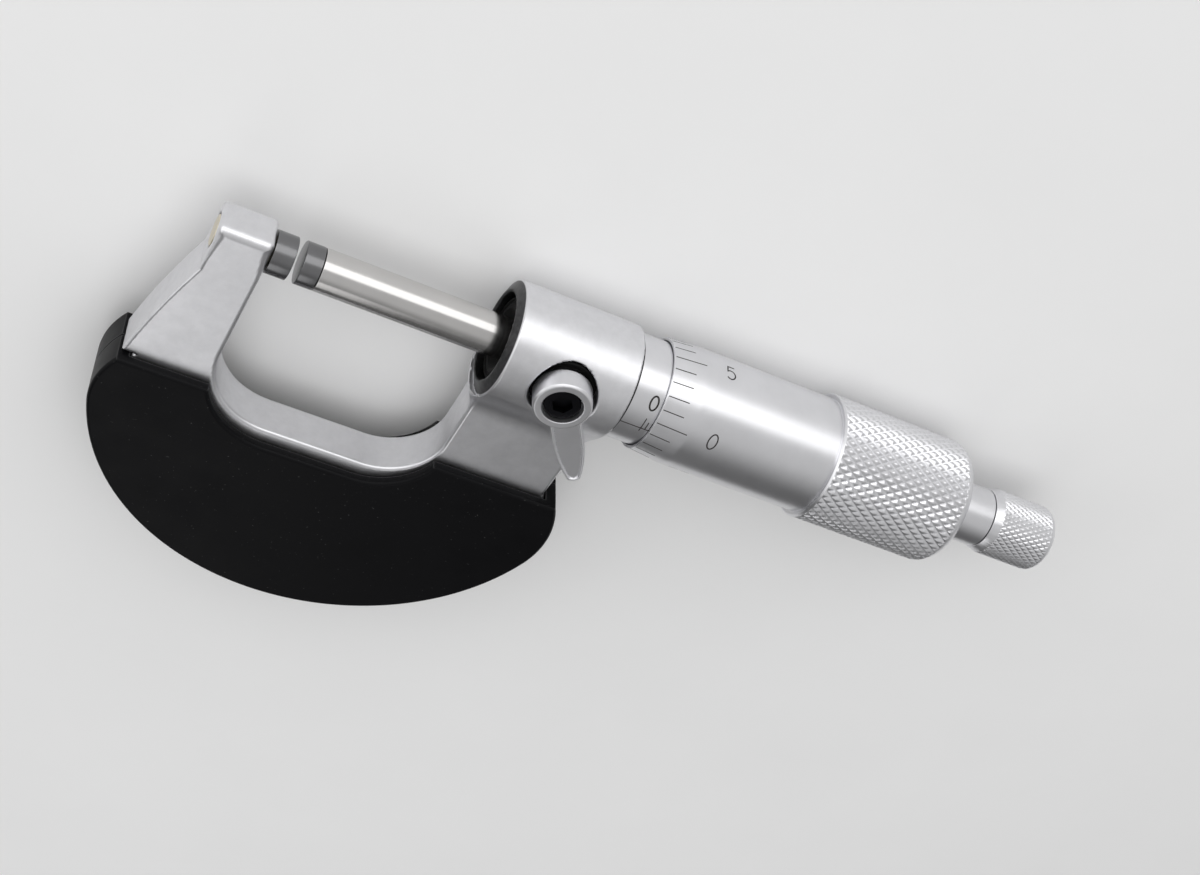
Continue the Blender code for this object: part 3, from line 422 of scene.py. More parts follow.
def carved(name, distance, grid, placing, finish, body, stands_for):
    """A piece from its distance function, on a grid, moved to its place."""
    points, faces, normals = surface_of(distance, grid)
    turn = np.array(placing.to_3x3())
    points = points @ turn.T + np.array(placing.translation)
    mesh = bpy.data.meshes.new(name)
    mesh.from_pydata(points, [], faces)
    mesh.shade_smooth()
    mesh.normals_split_custom_set_from_vertices((normals @ turn.T).tolist())
    return put_piece(name, mesh, finish, body, stands_for)


def softened(corners, step=12.0):
    """A closed profile with its corners rounded. Each corner is (x, radius, rounding)."""
    found = []
    for i, (x, y, rounding) in enumerate(corners):
        here = Vector((x, y))
        back = (here - Vector(corners[i - 1][:2])).normalized()
        ahead = (Vector(corners[(i + 1) % len(corners)][:2]) - here).normalized()
        turn = back.angle(ahead)
        if not rounding or turn < 0.01:
            found.append((x, y))
            continue
        inward = (ahead - back).normalized()
        along = (ahead + back).normalized()
        centre = here + inward * rounding / math.cos(turn / 2)
        steps = max(2, math.ceil(math.degrees(turn) / step))
        for k in range(steps + 1):
            angle = turn * (k / steps - 0.5)
            spot = centre + rounding * (along * math.sin(angle) - inward * math.cos(angle))
            found.append(tuple(spot))
    return found


def revolved(name, rings, sides):
    """A mesh turned about X. Each ring is (x, radius), or (x, radii) with one radius a side."""
    angles = np.arange(sides) * 2 * math.pi / sides
    x = np.array([ring[0] for ring in rings], float)
    radii = np.array([np.broadcast_to(ring[1], sides) for ring in rings], float)
    points = np.stack(
        [np.repeat(x[:, None] + FACE_X, sides, 1), radii * np.sin(angles), radii * np.cos(angles)], -1
    )
    count = len(rings)
    index = np.arange(count * sides).reshape(count, sides)
    closed = min(radii[0].min(), radii[-1].min()) > 1e-7
    here = index if closed else index[:-1]
    below = np.roll(index, -1, 0) if closed else index[1:]
    corners = [here, np.roll(here, -1, 1), np.roll(below, -1, 1), below]
    quads = np.stack(corners, -1).reshape(-1, 4)
    mesh = bpy.data.meshes.new(name)
    mesh.from_pydata(points.reshape(-1, 3), [], split_folds(quads, radii, sides))
    join_points(mesh)
    return mesh


def upright(mesh):
    """The mesh turned from X to Z and set on the lock's axis."""
    to_axis = Matrix.Translation((FACE_X + LOCK_X, LOCK_Y, 0))
    turn = Matrix.Rotation(math.radians(-90), 4, "Y")
    mesh.transform(to_axis @ turn @ Matrix.Translation((-FACE_X, 0, 0)))
    return mesh


def split_folds(quads, radii, sides):
    """Splits the quads of a knurl along its folds, and leaves the others whole."""
    flat = radii.reshape(-1)
    a, b, c, d = (flat[quads[:, k]] for k in range(4))
    folded = np.abs((a + c) - (b + d)) > 1e-9
    folded |= (np.abs(a - b) > 1e-9) | (np.abs(c - d) > 1e-9)
    first = np.abs(a - c) <= np.abs(b - d)
    found = quads[~folded].tolist()
    for mask, pick in ((folded & first, ((0, 1, 2), (0, 2, 3))), (folded & ~first, ((0, 1, 3), (1, 2, 3)))):
        for corners in pick:
            found += quads[mask][:, corners].tolist()
    return found


def join_points(mesh):
    work = bmesh.new()
    work.from_mesh(mesh)
    bmesh.ops.remove_doubles(work, verts=work.verts, dist=1e-7)
    work.to_mesh(mesh)
    work.free()


def shade(piece, angle=28.0):
    """Smooth shading that keeps the edges, with large faces setting the normals."""
    piece.data.shade_smooth()
    piece.data.set_sharp_from_angle(angle=math.radians(angle))
    even = piece.modifiers.new("even normals", "WEIGHTED_NORMAL")
    even.keep_sharp = True
    even.weight = 100
    return piece


def turned(name, corners, sides, finish, body, stands_for):
    """A turned piece from the corners of its profile."""
    mesh = revolved(name, softened(corners), sides)
    return shade(put_piece(name, mesh, finish, body, stands_for))


def knurl_rings(start, end, radius, depth, period, count, envelope):
    """Rings of a diamond knurl from one place to another: V grooves both ways, with small flats."""
    fine = 4
    flat = 0.18
    sides = count * 2 * fine
    rows = round(abs(end - start) / (period / 2 / fine))
    around = np.arange(sides) / fine
    rings = []
    for i in range(rows + 1):
        along = i / fine
        place = start + (end - start) * i / rows
        groove = np.maximum(saw(along + around), saw(along - around))
        cut = depth * np.clip((groove - flat) / (1 - flat), 0, 1)
        rings.append((place, np.minimum(radius - cut, envelope(place))))
    return rings


def saw(value):
    return 1 - np.abs(value % 2 - 1)


def knurled_end(shoulder, end, start, radius, depth, period, count, run_in):
    """Rings of a rounded end, and of the knurl from there back to its start, where it runs in."""
    corner = end - shoulder

    def envelope(x):
        if x > shoulder:
            return radius - corner + math.sqrt(max(0.0, corner**2 - (x - shoulder) ** 2))
        return min(radius, radius - run_in + (x - start))

    last = shoulder + math.sqrt(corner**2 - (corner - depth) ** 2)
    rings = []
    for angle in np.arange(0, 90, 6):
        x = shoulder + corner * math.cos(math.radians(angle))
        if x > last:
            rings.append((x, envelope(x)))
    return rings + knurl_rings(last, start, radius, depth, period, count, envelope)


def plate(name, outline, low, high, edge=0.0):
    """A flat mesh between two heights, with its edges rounded."""
    curve = bpy.data.curves.new(name, "CURVE")
    curve.dimensions = "2D"
    curve.fill_mode = "BOTH"
    curve.extrude = (high - low) / 2 - edge
    curve.bevel_depth = edge
    curve.bevel_resolution = 4
    curve.offset = -edge
    spline = curve.splines.new("POLY")
    spline.points.add(len(outline) - 1)
    for point, (x, y) in zip(spline.points, outline):
        point.co = (x + FACE_X, y, 0, 1)
    spline.use_cyclic_u = True
    drawn = bpy.data.objects.new(name, curve)
    bpy.context.scene.collection.objects.link(drawn)
    bpy.context.view_layer.update()
    ready = drawn.evaluated_get(bpy.context.evaluated_depsgraph_get())
    mesh = bpy.data.meshes.new_from_object(ready)
    bpy.data.objects.remove(drawn, do_unlink=True)
    mesh.transform(Matrix.Translation((0, 0, (low + high) / 2)))
    join_points(mesh)
    return mesh


def cut_with(mesh, tools, operation="DIFFERENCE"):
    """The mesh after each tool mesh has been taken from it or joined to it."""
    solid = bpy.data.objects.new("solid", mesh)
    bpy.context.scene.collection.objects.link(solid)
    helpers = []
    for tool in tools:
        helper = bpy.data.objects.new("tool", tool)
        bpy.context.scene.collection.objects.link(helper)
        helpers.append(helper)
        step = solid.modifiers.new("cut", "BOOLEAN")
        step.operation = operation
        step.object = helper
        step.solver = "EXACT"
    bpy.context.view_layer.update()
    ready = solid.evaluated_get(bpy.context.evaluated_depsgraph_get())
    made = bpy.data.meshes.new_from_object(ready)
    for helper in helpers + [solid]:
        bpy.data.objects.remove(helper, do_unlink=True)
    return made


# Figures and lines of the scales


def oval(x, y, across, up, start=90.0, turn=-360.0):
    count = max(4, round(abs(turn) / 15))
    angles = np.radians(start + turn * np.arange(count + 1) / count)
    return [(x + across * math.cos(a), y + up * math.sin(a)) for a in angles]


# Strokes of each figure, in a box 0.6 wide and 1 high
FIGURES = {
    "0": [oval(0.3, 0.5, 0.27, 0.5)],
    "1": [[(0.14, 0.8), (0.34, 1.0), (0.34, 0.0)]],
    "2": [oval(0.3, 0.71, 0.28, 0.29, 165, -205) + [(0.02, 0.0), (0.6, 0.0)]],
    "3": [oval(0.28, 0.76, 0.24, 0.24, 150, -240), oval(0.28, 0.26, 0.29, 0.26, 90, -240)],
    "4": [[(0.46, 0.0), (0.46, 1.0), (0.0, 0.3), (0.62, 0.3)]],
    "5": [[(0.54, 1.0), (0.12, 1.0), (0.07, 0.56)] + oval(0.28, 0.33, 0.29, 0.33, 125, -265)],
    "6": [oval(0.3, 0.3, 0.28, 0.3), [(0.03, 0.4), (0.13, 0.76), (0.42, 1.0)]],
    "7": [[(0.02, 1.0), (0.6, 1.0), (0.22, 0.0)]],
    "8": [oval(0.3, 0.76, 0.24, 0.24), oval(0.3, 0.26, 0.28, 0.26)],
    "9": [oval(0.3, 0.7, 0.28, 0.3), [(0.57, 0.6), (0.47, 0.24), (0.18, 0.0)]],
}


def figure_strokes(text, x, middle, height):
    """Strokes of a number centred on a place, with its top towards +Y."""
    advance = 0.82 * height
    left = x - (len(text) - 1) * advance / 2 - 0.3 * height
    found = []
    for i, digit in enumerate(text):
        for stroke in FIGURES[digit]:
            corner = left + i * advance
            found.append([(corner + px * height, middle + (py - 0.5) * height) for px, py in stroke])
    return found


def fine_steps(path, step):
    """The same path with no two points further apart than a step."""
    found = [path[0]]
    for (ax, ay), (bx, by) in zip(path, path[1:]):
        count = max(1, math.ceil(math.hypot(bx - ax, by - ay) / step))
        found += [(ax + (bx - ax) * k / count, ay + (by - ay) * k / count) for k in range(1, count + 1)]
    return found


def strip(path, width, radius, proud, radius_at):
    """Points and faces of a filled line along a path of (x, way round the radius)."""
    longest, root, widest = 0.4 * MM, -0.06 * MM, 1.6
    line = np.array(fine_steps(path, longest))
    closed = np.allclose(line[0], line[-1], atol=1e-7)
    if closed:
        line = line[:-1]
    ahead = np.roll(line, -1, 0) - line
    if not closed:
        ahead[-1] = ahead[-2]
    ahead /= np.linalg.norm(ahead, axis=1)[:, None]
    back = np.roll(ahead, 1, 0)
    if not closed:
        back[0] = ahead[0]
    middle = ahead + back
    middle /= np.linalg.norm(middle, axis=1)[:, None]
    stretch = np.clip(1 / np.maximum((middle * ahead).sum(1), 0.35), 1, widest)
    side = np.stack([-middle[:, 1], middle[:, 0]], 1) * (width / 2 * stretch)[:, None]
    count = len(line)
    points = []
    for sign, above in ((1, root), (1, proud), (-1, proud), (-1, root)):
        spot = line + sign * side
        angle = spot[:, 1] / radius
        level = (radius_at(spot[:, 0]) if radius_at else radius) + above
        points.append(np.stack([spot[:, 0] + FACE_X, level * np.sin(angle), level * np.cos(angle)], 1))
    faces = []
    for i in range(count if closed else count - 1):
        n = (i + 1) % count
        for k in range(4):
            j = (k + 1) % 4
            faces.append((k * count + i, j * count + i, j * count + n, k * count + n))
    if not closed:
        faces.append(tuple(k * count for k in reversed(range(4))))
        faces.append(tuple(k * count + count - 1 for k in range(4)))
    return np.concatenate(points), faces


def filled_lines(name, strokes, radius, proud, finish, body, radius_at=None):
    """One piece of filled lines on a turned surface, which may be tapered. Each stroke is (path, width)."""
    points, faces, start = [], [], 0
    for path, width in strokes:
        spots, quads = strip(path, width, radius, proud, radius_at)
        points.append(spots)
        faces += [tuple(start + v for v in face) for face in quads]
        start += len(spots)
    mesh = bpy.data.meshes.new(name)
    mesh.from_pydata(np.concatenate(points), [], faces)
    return put_piece(name, mesh, finish, body)


# Finishes of the surfaces


class Finish:
    """A material, with short ways to add nodes to it."""

    def __init__(self, name):
        self.material = bpy.data.materials.new(name)
        self.material.use_nodes = True
        self.nodes = self.material.node_tree.nodes
        self.links = self.material.node_tree.links
        self.shader = self.nodes["Principled BSDF"]

    def put(self, target, key, value):
        if isinstance(value, bpy.types.NodeSocket):
            self.links.new(value, target.inputs[key])
        else:
            target.inputs[key].default_value = value

    def add(self, kind, inputs=(), **settings):
        made = self.nodes.new("ShaderNode" + kind)
        for key, value in settings.items():
            setattr(made, key, value)
        for key, value in dict(inputs).items():
            self.put(made, key, value)
        return made

    def noise(self, scale, detail, stretch=(1.0, 1.0, 1.0)):
        """Noise over the object. A scale of 1000 has grains about a millimetre across."""
        place = self.add("TexCoord").outputs["Object"]
        if stretch != (1.0, 1.0, 1.0):
            place = self.add("Mapping", {"Vector": place, "Scale": stretch}).outputs["Vector"]
        inputs = {"Vector": place, "Scale": scale, "Detail": detail, "Roughness": 0.6}
        return self.add("TexNoise", inputs).outputs["Fac"]

    def between(self, value, low, high, to_low, to_high):
        inputs = {0: value, 1: low, 2: high, 3: to_low, 4: to_high}
        return self.add("MapRange", inputs).outputs[0]

    def sum_of(self, first, second):
        return self.add("Math", {0: first, 1: second}, operation="ADD").outputs[0]

    def product_of(self, first, second):
        return self.add("Math", {0: first, 1: second}, operation="MULTIPLY").outputs[0]

    def mixed(self, factor, first, second):
        inputs = {0: factor, 6: first, 7: second}
        return self.add("Mix", inputs, data_type="RGBA").outputs[2]

    def edges(self, radius):
        """One along the edges and nought on the faces."""
        eased = self.add("Bevel", {"Radius": radius}, samples=6).outputs["Normal"]
        straight = self.add("NewGeometry").outputs["Normal"]
        same = self.add("VectorMath", {0: eased, 1: straight}, operation="DOT_PRODUCT")
        return self.between(same.outputs["Value"], 0.985, 0.85, 0.0, 1.0)

    def metal_surface(self, tone, rough, spread, marks, clouds, worn, depth):
        """Sets a metal's colour, its cloudy roughness, smoother along the edges, and its marks."""
        self.put(self.shader, "Base Color", tone)
        self.put(self.shader, "Metallic", 1.0)
        cloudy = self.between(clouds, 0.3, 0.7, rough - spread / 2, rough + spread / 2)
        marked = self.sum_of(cloudy, self.between(marks, 0.3, 0.7, -spread / 2, spread / 2))
        eased = self.between(worn, 0.0, 1.0, 0.0, -0.1)
        self.put(self.shader, "Roughness", self.sum_of(marked, eased))
        self.bump(marks, 0.35, depth * MM)

    def bump(self, height, strength, distance):
        inputs = {"Height": height, "Strength": strength, "Distance": distance}
        self.put(self.shader, "Normal", self.add("Bump", inputs).outputs["Normal"])


def shaded(colour_value, factor):
    return tuple(min(1.0, value * factor) for value in colour_value) + (1.0,)


def metal(name, base, rough, grain, depth=0.006, spread=0.05, corner_shade=None):
    """A metal with marks, cloudy wear and bright edges, and painted shade in a band between two places
    along X.
    """
    made = Finish(name)
    scale, stretch = grain
    marks = made.noise(scale, 2.0, stretch)
    clouds = made.noise(160, 4.0)
    worn = made.edges(0.3 * MM)
    tone = made.mixed(clouds, shaded(base, 0.9), shaded(base, 1.08))
    tone = made.mixed(worn, tone, shaded(base, 1.22))
    # Painted shade: a dark band on the surface between two places along X
    if corner_shade:
        low, high = corner_shade
        along = made.add("SeparateXYZ", {0: made.add("TexCoord").outputs["Object"]}).outputs["X"]
        after = made.between(along, low, low + 0.02 * MM, 0.0, 1.0)
        before = made.between(along, high - 0.05 * MM, high, 1.0, 0.0)
        tone = made.mixed(made.product_of(after, before), tone, shaded(base, 0.06))
    made.metal_surface(tone, rough, spread, marks, clouds, worn, depth)
    return made.material


def frame_chrome(name, base, rough):
    """The frame's mottled chrome, with painted shade on the nose's slanted face and in its bore."""
    made = Finish(name)
    marks = made.noise(5200, 2.0)
    clouds = made.noise(160, 4.0)
    worn = made.edges(0.3 * MM)
    mottled = made.between(made.noise(600, 5.0), 0.34, 0.66, 0.0, 1.0)
    tone = made.mixed(mottled, shaded(base, 0.96), shaded(base, 1.03))
    tone = made.mixed(worn, tone, shaded(base, 1.18))
    place = made.add("TexCoord").outputs["Object"]
    along = made.add("SeparateXYZ", {0: place}).outputs["X"]
    across = made.add("VectorMath", {0: place, 1: (0.0, 1.0, 1.0)}, operation="MULTIPLY").outputs[0]
    out = made.add("VectorMath", {0: across}, operation="LENGTH").outputs["Value"]
    # Painted shade: the nose's slanted face and the bore behind it are mixed towards a mottled near-black
    slanted = made.product_of(
        made.between(along, FACE_X + 31.68 * MM, FACE_X + 31.74 * MM, 1.0, 0.0),
        made.between(out, 8.7 * MM, 8.76 * MM, 1.0, 0.0),
    )
    bore = made.product_of(
        made.between(along, FACE_X + 35 * MM, FACE_X + 36 * MM, 1.0, 0.0),
        made.between(out, 6.85 * MM, 6.95 * MM, 1.0, 0.0),
    )
    beyond_throat = made.between(along, FACE_X + 30.8 * MM, FACE_X + 30.9 * MM, 0.0, 1.0)
    nose = made.product_of(made.sum_of(slanted, bore), beyond_throat)
    painted_nose_shade = made.mixed(made.noise(1500, 4.0), shaded(base, 0.03), shaded(base, 0.16))
    tone = made.mixed(nose, tone, painted_nose_shade)
    made.metal_surface(tone, rough, 0.06, marks, clouds, worn, 0.006)
    return made.material


def plastic(name, base, rough, grain, worn_tone):
    """Moulded plastic or rubber with a fine grain, faint dust, and edges rubbed paler."""
    made = Finish(name)
    fine = made.noise(grain, 2.0)
    clouds = made.noise(120, 5.0)
    worn = made.edges(0.35 * MM)
    dust = made.between(made.noise(2600, 1.0), 0.74, 0.8, 0.0, 0.5)
    tone = made.mixed(clouds, shaded(base, 0.75), shaded(base, 1.3))
    tone = made.mixed(dust, tone, (0.09, 0.09, 0.09, 1.0))
    made.put(made.shader, "Base Color", made.mixed(worn, tone, worn_tone))
    cloudy = made.between(clouds, 0.3, 0.7, rough - 0.06, rough + 0.08)
    made.put(made.shader, "Roughness", made.sum_of(cloudy, made.between(worn, 0, 1, 0, -0.08)))
    made.put(made.shader, "Specular IOR Level", 0.1)
    made.bump(fine, 0.2, 0.02 * MM)
    return made.material


def line_fill(name, base):
    made = Finish(name)
    clouds = made.noise(3000, 3.0)
    made.put(made.shader, "Base Color", made.mixed(clouds, shaded(base, 0.6), shaded(base, 2.2)))
    made.put(made.shader, "Roughness", made.between(clouds, 0.3, 0.7, 0.45, 0.65))
    made.put(made.shader, "Specular IOR Level", 0.15)
    made.bump(clouds, 0.3, 0.01 * MM)
    return made.material


# The grain of a finish: its scale, and how it is drawn out along X, Y and Z
ROUND_X = (2600.0, (1.0, 0.01, 0.01))
ALL_WAYS = (5200.0, (1.0, 1.0, 1.0))


def finish(name):
    """The material of that name, made the first time that it is asked for."""
    if name in bpy.data.materials and bpy.data.materials[name].get("made_here"):
        return bpy.data.materials[name]
    look = bpy.context.scene.micrometer_finishes
    chrome, rough = look.chrome, look.chrome_rough
    turning = {"depth": 0.003, "spread": 0.03}
    ground = {"depth": 0.005, "spread": 0.04}
    # The sleeve's painted shade: a dark band just outside the hub's right edge, where it meets the sleeve
    corner = (FACE_X + 50.7 * MM, FACE_X + 51.12 * MM)
    # A warm yellowish tint for the anvil shank
    yellowish = (0.68, 0.62, 0.48)
    worn_plastic = (0.05, 0.05, 0.052, 1.0)
    worn_rubber = (0.03, 0.03, 0.03, 1.0)
    makers = {
        "blasted_chrome": lambda: metal(name, chrome, rough, ALL_WAYS),
        "frame_chrome": lambda: frame_chrome(name, chrome, rough),
        "turned_chrome": lambda: metal(name, chrome, rough - 0.05, ROUND_X, **turning),
        "sleeve_chrome": lambda: metal(name, chrome, rough - 0.05, ROUND_X, corner_shade=corner, **turning),
        "ground_steel": lambda: metal(name, look.steel, 0.2, ROUND_X, **ground),
        "lapped_carbide": lambda: metal(name, look.carbide, 0.24, ROUND_X, **ground),
        "turned_bronze": lambda: metal(name, look.bronze, 0.35, ALL_WAYS),
        "blackened_steel": lambda: metal(name, look.black, 0.45, ALL_WAYS),
        "yellowish_steel": lambda: metal(name, yellowish, 0.32, ALL_WAYS),
        "cover_plastic": lambda: plastic(name, look.cover, 0.4, 5200.0, worn_plastic),
        "seal_and_shade_rubber": lambda: plastic(name, look.rubber, 0.6, 6500.0, worn_rubber),
        "line_fill": lambda: line_fill(name, look.ink),
    }
    made = makers[name]()
    made["made_here"] = True
    return made


# One operator for each group of pieces


class MICROMETER_OT_frame(bpy.types.Operator):
    """Builds the satin frame: head, bow, throat and hub"""

    bl_idname = "micrometer.frame"
    bl_label = "Frame"

    def execute(self, context):
        size = context.scene.micrometer_frame
        cover = context.scene.micrometer_covers
        outline = frame_outline(cover.wall + CLEARANCE)
        nose, rim, right, nose_radius = metres(31.0, 31.8, 50.65, 7.2)
        nose_bore, nose_middle, nose_reach = metres(6.7, 30.0, 5.3)
        main_bore_radius, main_bore_start = metres(6.8, 46.8)
        passage, passage_start, far_off = metres(3.475, 20.0, 5.0)
        shank_radius, shank_end = metres(2.6, -2.25)
        recess_floor, stud_radius, stud_floor, peg_radius = metres(5.4, 2.3, 1.0, 2.0)
        head_low, head_blend, clear_radius = metres(-3.0, 5.0, 9.0)
        slope = Vector((nose_radius - size.hub_radius, rim - nose)).normalized()

        def distance(x, y, z):
            at_head = np.clip((y - head_low) / head_blend, 0, 1) * (x < 0)
            edge = size.edge + (size.head_edge - size.edge) * at_head
            plate_part = slab(outline_distance(x, y, outline), z, size.half, edge)
            out = np.hypot(y, z)
            middle, reach = (nose + right) / 2, (right - nose) / 2
            hub = slab(out - size.hub_radius, x - middle, reach, 0.15 * MM)
            cone = slope.x * (x - nose) + slope.y * (out - nose_radius)
            hub = without(hub, -cone, 0.15 * MM)
            solid = joined(plate_part, hub, size.fillet)
            before_nose = np.maximum(np.maximum(-cone, out - clear_radius), passage_start - x)
            solid = without(solid, before_nose, 0.12 * MM)
            counterbore = np.maximum(out - nose_bore, np.abs(x - nose_middle) - nose_reach)
            main_bore = np.maximum(out - main_bore_radius, main_bore_start - x)
            through = np.where(x > passage_start, out - passage, far_off)
            shank = np.maximum(out - shank_radius, x - shank_end)
            solid = without(solid, np.minimum(np.minimum(counterbore, main_bore), through), 0.25 * MM)
            solid = without(solid, shank, 0.2 * MM)
            beside = np.hypot(x - LOCK_X, y - LOCK_Y)
            recess = np.maximum(beside - size.recess_radius, recess_floor - z)
            stud = np.maximum(beside - stud_radius, stud_floor - z)
            solid = without(solid, recess, 0.35 * MM)
            solid = np.maximum(solid, -stud)
            for px, py in PEGS:
                solid = np.maximum(solid, peg_radius - np.hypot(x - px, y - py))
            return solid

        step = size.cell
        low, high = metres(-60.6, -34.0)
        across = np.arange(-17.6 * MM, 53.6 * MM, step)
        up = np.concatenate([np.arange(low, high, 2.5 * step), np.arange(high, 9.4 * MM, step)])
        through = np.arange(-9.3 * MM, 9.3 * MM, step)
        carved(
            "micrometer_frame",
            distance,
            (across, up, through),
            Matrix.Translation((FACE_X, 0, 0)),
            finish("frame_chrome"),
            "body",
            ("frame",),
        )
        return {"FINISHED"}


class MICROMETER_OT_covers(bpy.types.Operator):
    """Builds the two black covers that clip round the bow"""

    bl_idname = "micrometer.covers"
    bl_label = "Covers"

    def execute(self, context):
        size = context.scene.micrometer_covers
        depth = context.scene.micrometer_frame.half + CLEARANCE
        past_top, peg_radius = metres(2.0, 1.7)
        far = 0.2
        square = [(-far, -far), (far, -far), (far, far), (-far, far)]
        for name, side in (("front", 1), ("rear", -1)):
            seam, peg_end = side * size.seam / 2, side * depth * 1.1
            cover = plate(name, cover_outline(), -size.face, size.face, size.edge)
            edge = outer_edge(size.wall, COVER_TOP_LEFT + past_top, COVER_TOP_RIGHT + past_top)
            pocket = plate("pocket", edge, -depth, depth)
            half = plate("half", square, *sorted((seam, -side * 2 * size.face)))
            rings = [arc((x, y, peg_radius), 0, 350, step=10) for x, y in PEGS]
            pegs = [plate("peg", ring, *sorted((seam, peg_end))) for ring in rings]
            mesh = cut_with(cut_with(cover, [pocket, half]), pegs, "UNION")
            cad = (f"{name}_cover",)
            black = finish("cover_plastic")
            shade(put_piece(f"{name}_shell", mesh, black, "body", cad), 35.0)
        return {"FINISHED"}


class MICROMETER_OT_spindle(bpy.types.Operator):
    """Builds the anvil, the spindle and their carbide tips"""

    bl_idname = "micrometer.spindle"
    bl_label = "Anvil and spindle"

    def execute(self, context):
        size = context.scene.micrometer_spindle
        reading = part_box("spindle_tip")[0].x - FACE_X
        radius, edge = size.radius, size.face_edge
        joint = 0.05 * MM
        steel, carbide = finish("ground_steel"), finish("lapped_carbide")
        left, right, shank_radius = HEAD_LEFT, HEAD_RIGHT, 2.3 * MM
        shank = ((right, 0, 0), (right, shank_radius, 0), (left, shank_radius, 0.15 * MM), (left, 0, 0))
        yellowish = finish("yellowish_steel")
        turned("anvil_shank", shank, size.sides, yellowish, "body", ("anvil",))
        anvil_start, tip_length, tip_seat = metres(-3.05, 2.65, 2.8)
        for name, low, high, body, cad in (
            ("anvil_face", anvil_start, 0, "body", "anvil_tip"),
            ("spindle_face", reading, reading + tip_length, "spindle_unit", "spindle_tip"),
        ):
            edges = (joint, edge) if name == "anvil_face" else (edge, joint)
            tip = ((high, 0, 0), (high, radius, edges[1]), (low, radius, edges[0]), (low, 0, 0))
            turned(name, tip, size.sides, carbide, body, (cad,))
        start = reading + tip_seat
        lead, thread_start, thread_end, cone_start, cone_end, tap_end = metres(
            47.84, 48.44, 87.5, 88.0, 100.2, 92.0
        )
        tap, thread, cone_wide, cone_narrow = metres(1.8, 3.75, 3.6, 2.9)
        body = (
            (tap_end, 0, 0),
            (tap_end, tap, 0),
            (cone_end, tap, 0),
            (cone_end, cone_narrow, 0.1 * MM),
            (cone_start, cone_wide, 0),
            (thread_end, thread, 0),
            (thread_start, thread, 0),
            (lead, radius, 0),
            (start, radius, joint),
            (start, 0, 0),
        )
        turned("measuring_spindle", body, size.sides, steel, "spindle_unit", ("spindle",))
        return {"FINISHED"}


class MICROMETER_OT_sleeve(bpy.types.Operator):
    """Builds the graduated sleeve with its lines and figures"""

    bl_idname = "micrometer.sleeve"
    bl_label = "Sleeve"

    def execute(self, context):
        scale = context.scene.micrometer_scales
        sides = context.scene.micrometer_spindle.sides
        low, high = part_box("graduated_sleeve")
        left, right, radius = low.x - FACE_X, high.x - FACE_X, high.z
        bore, hole_low, hole_high = metres(6.8, -9.2, -5.0)
        profile = (
            (right, radius, 0.2 * MM),
            (left, radius, 0.12 * MM),
            (left, bore, 0.05 * MM),
            (right, bore, 0.05 * MM),
        )
        mesh = revolved("divided_sleeve", softened(profile), sides)
        wrench_hole = arc(metres(53.0, 0.0, 0.6), 4, 354, step=10)
        mesh = cut_with(mesh, [plate("hole", wrench_hole, hole_low, hole_high)])
        piece = put_piece(
            "divided_sleeve", mesh, finish("sleeve_chrome"), "body", ("graduated_sleeve",)
        )
        shade(piece)
        index = -0.01 * radius
        zero, figure_y = metres(54.4, 4.4)
        strokes = [([(left + 0.12 * MM, index), (right - 0.3 * MM, index)], scale.sleeve_line)]
        lines, lines_per_figure = 41, 4
        for i in range(lines):
            x = zero + i * scale.pitch
            whole = i % lines_per_figure == 0
            ends = metres(-0.6, 1.9) if whole else metres(0.0, 1.35)
            strokes.append(([(x, index + ends[0]), (x, index + ends[1])], scale.sleeve_line))
            if whole:
                digit = str(i // lines_per_figure % 10)
                figure = figure_strokes(digit, x, index + figure_y, scale.sleeve_figure)
                strokes += [(path, scale.sleeve_stroke) for path in figure]
        filled_lines("sleeve_scale", strokes, radius, scale.proud, finish("line_fill"), "body")
        return {"FINISHED"}


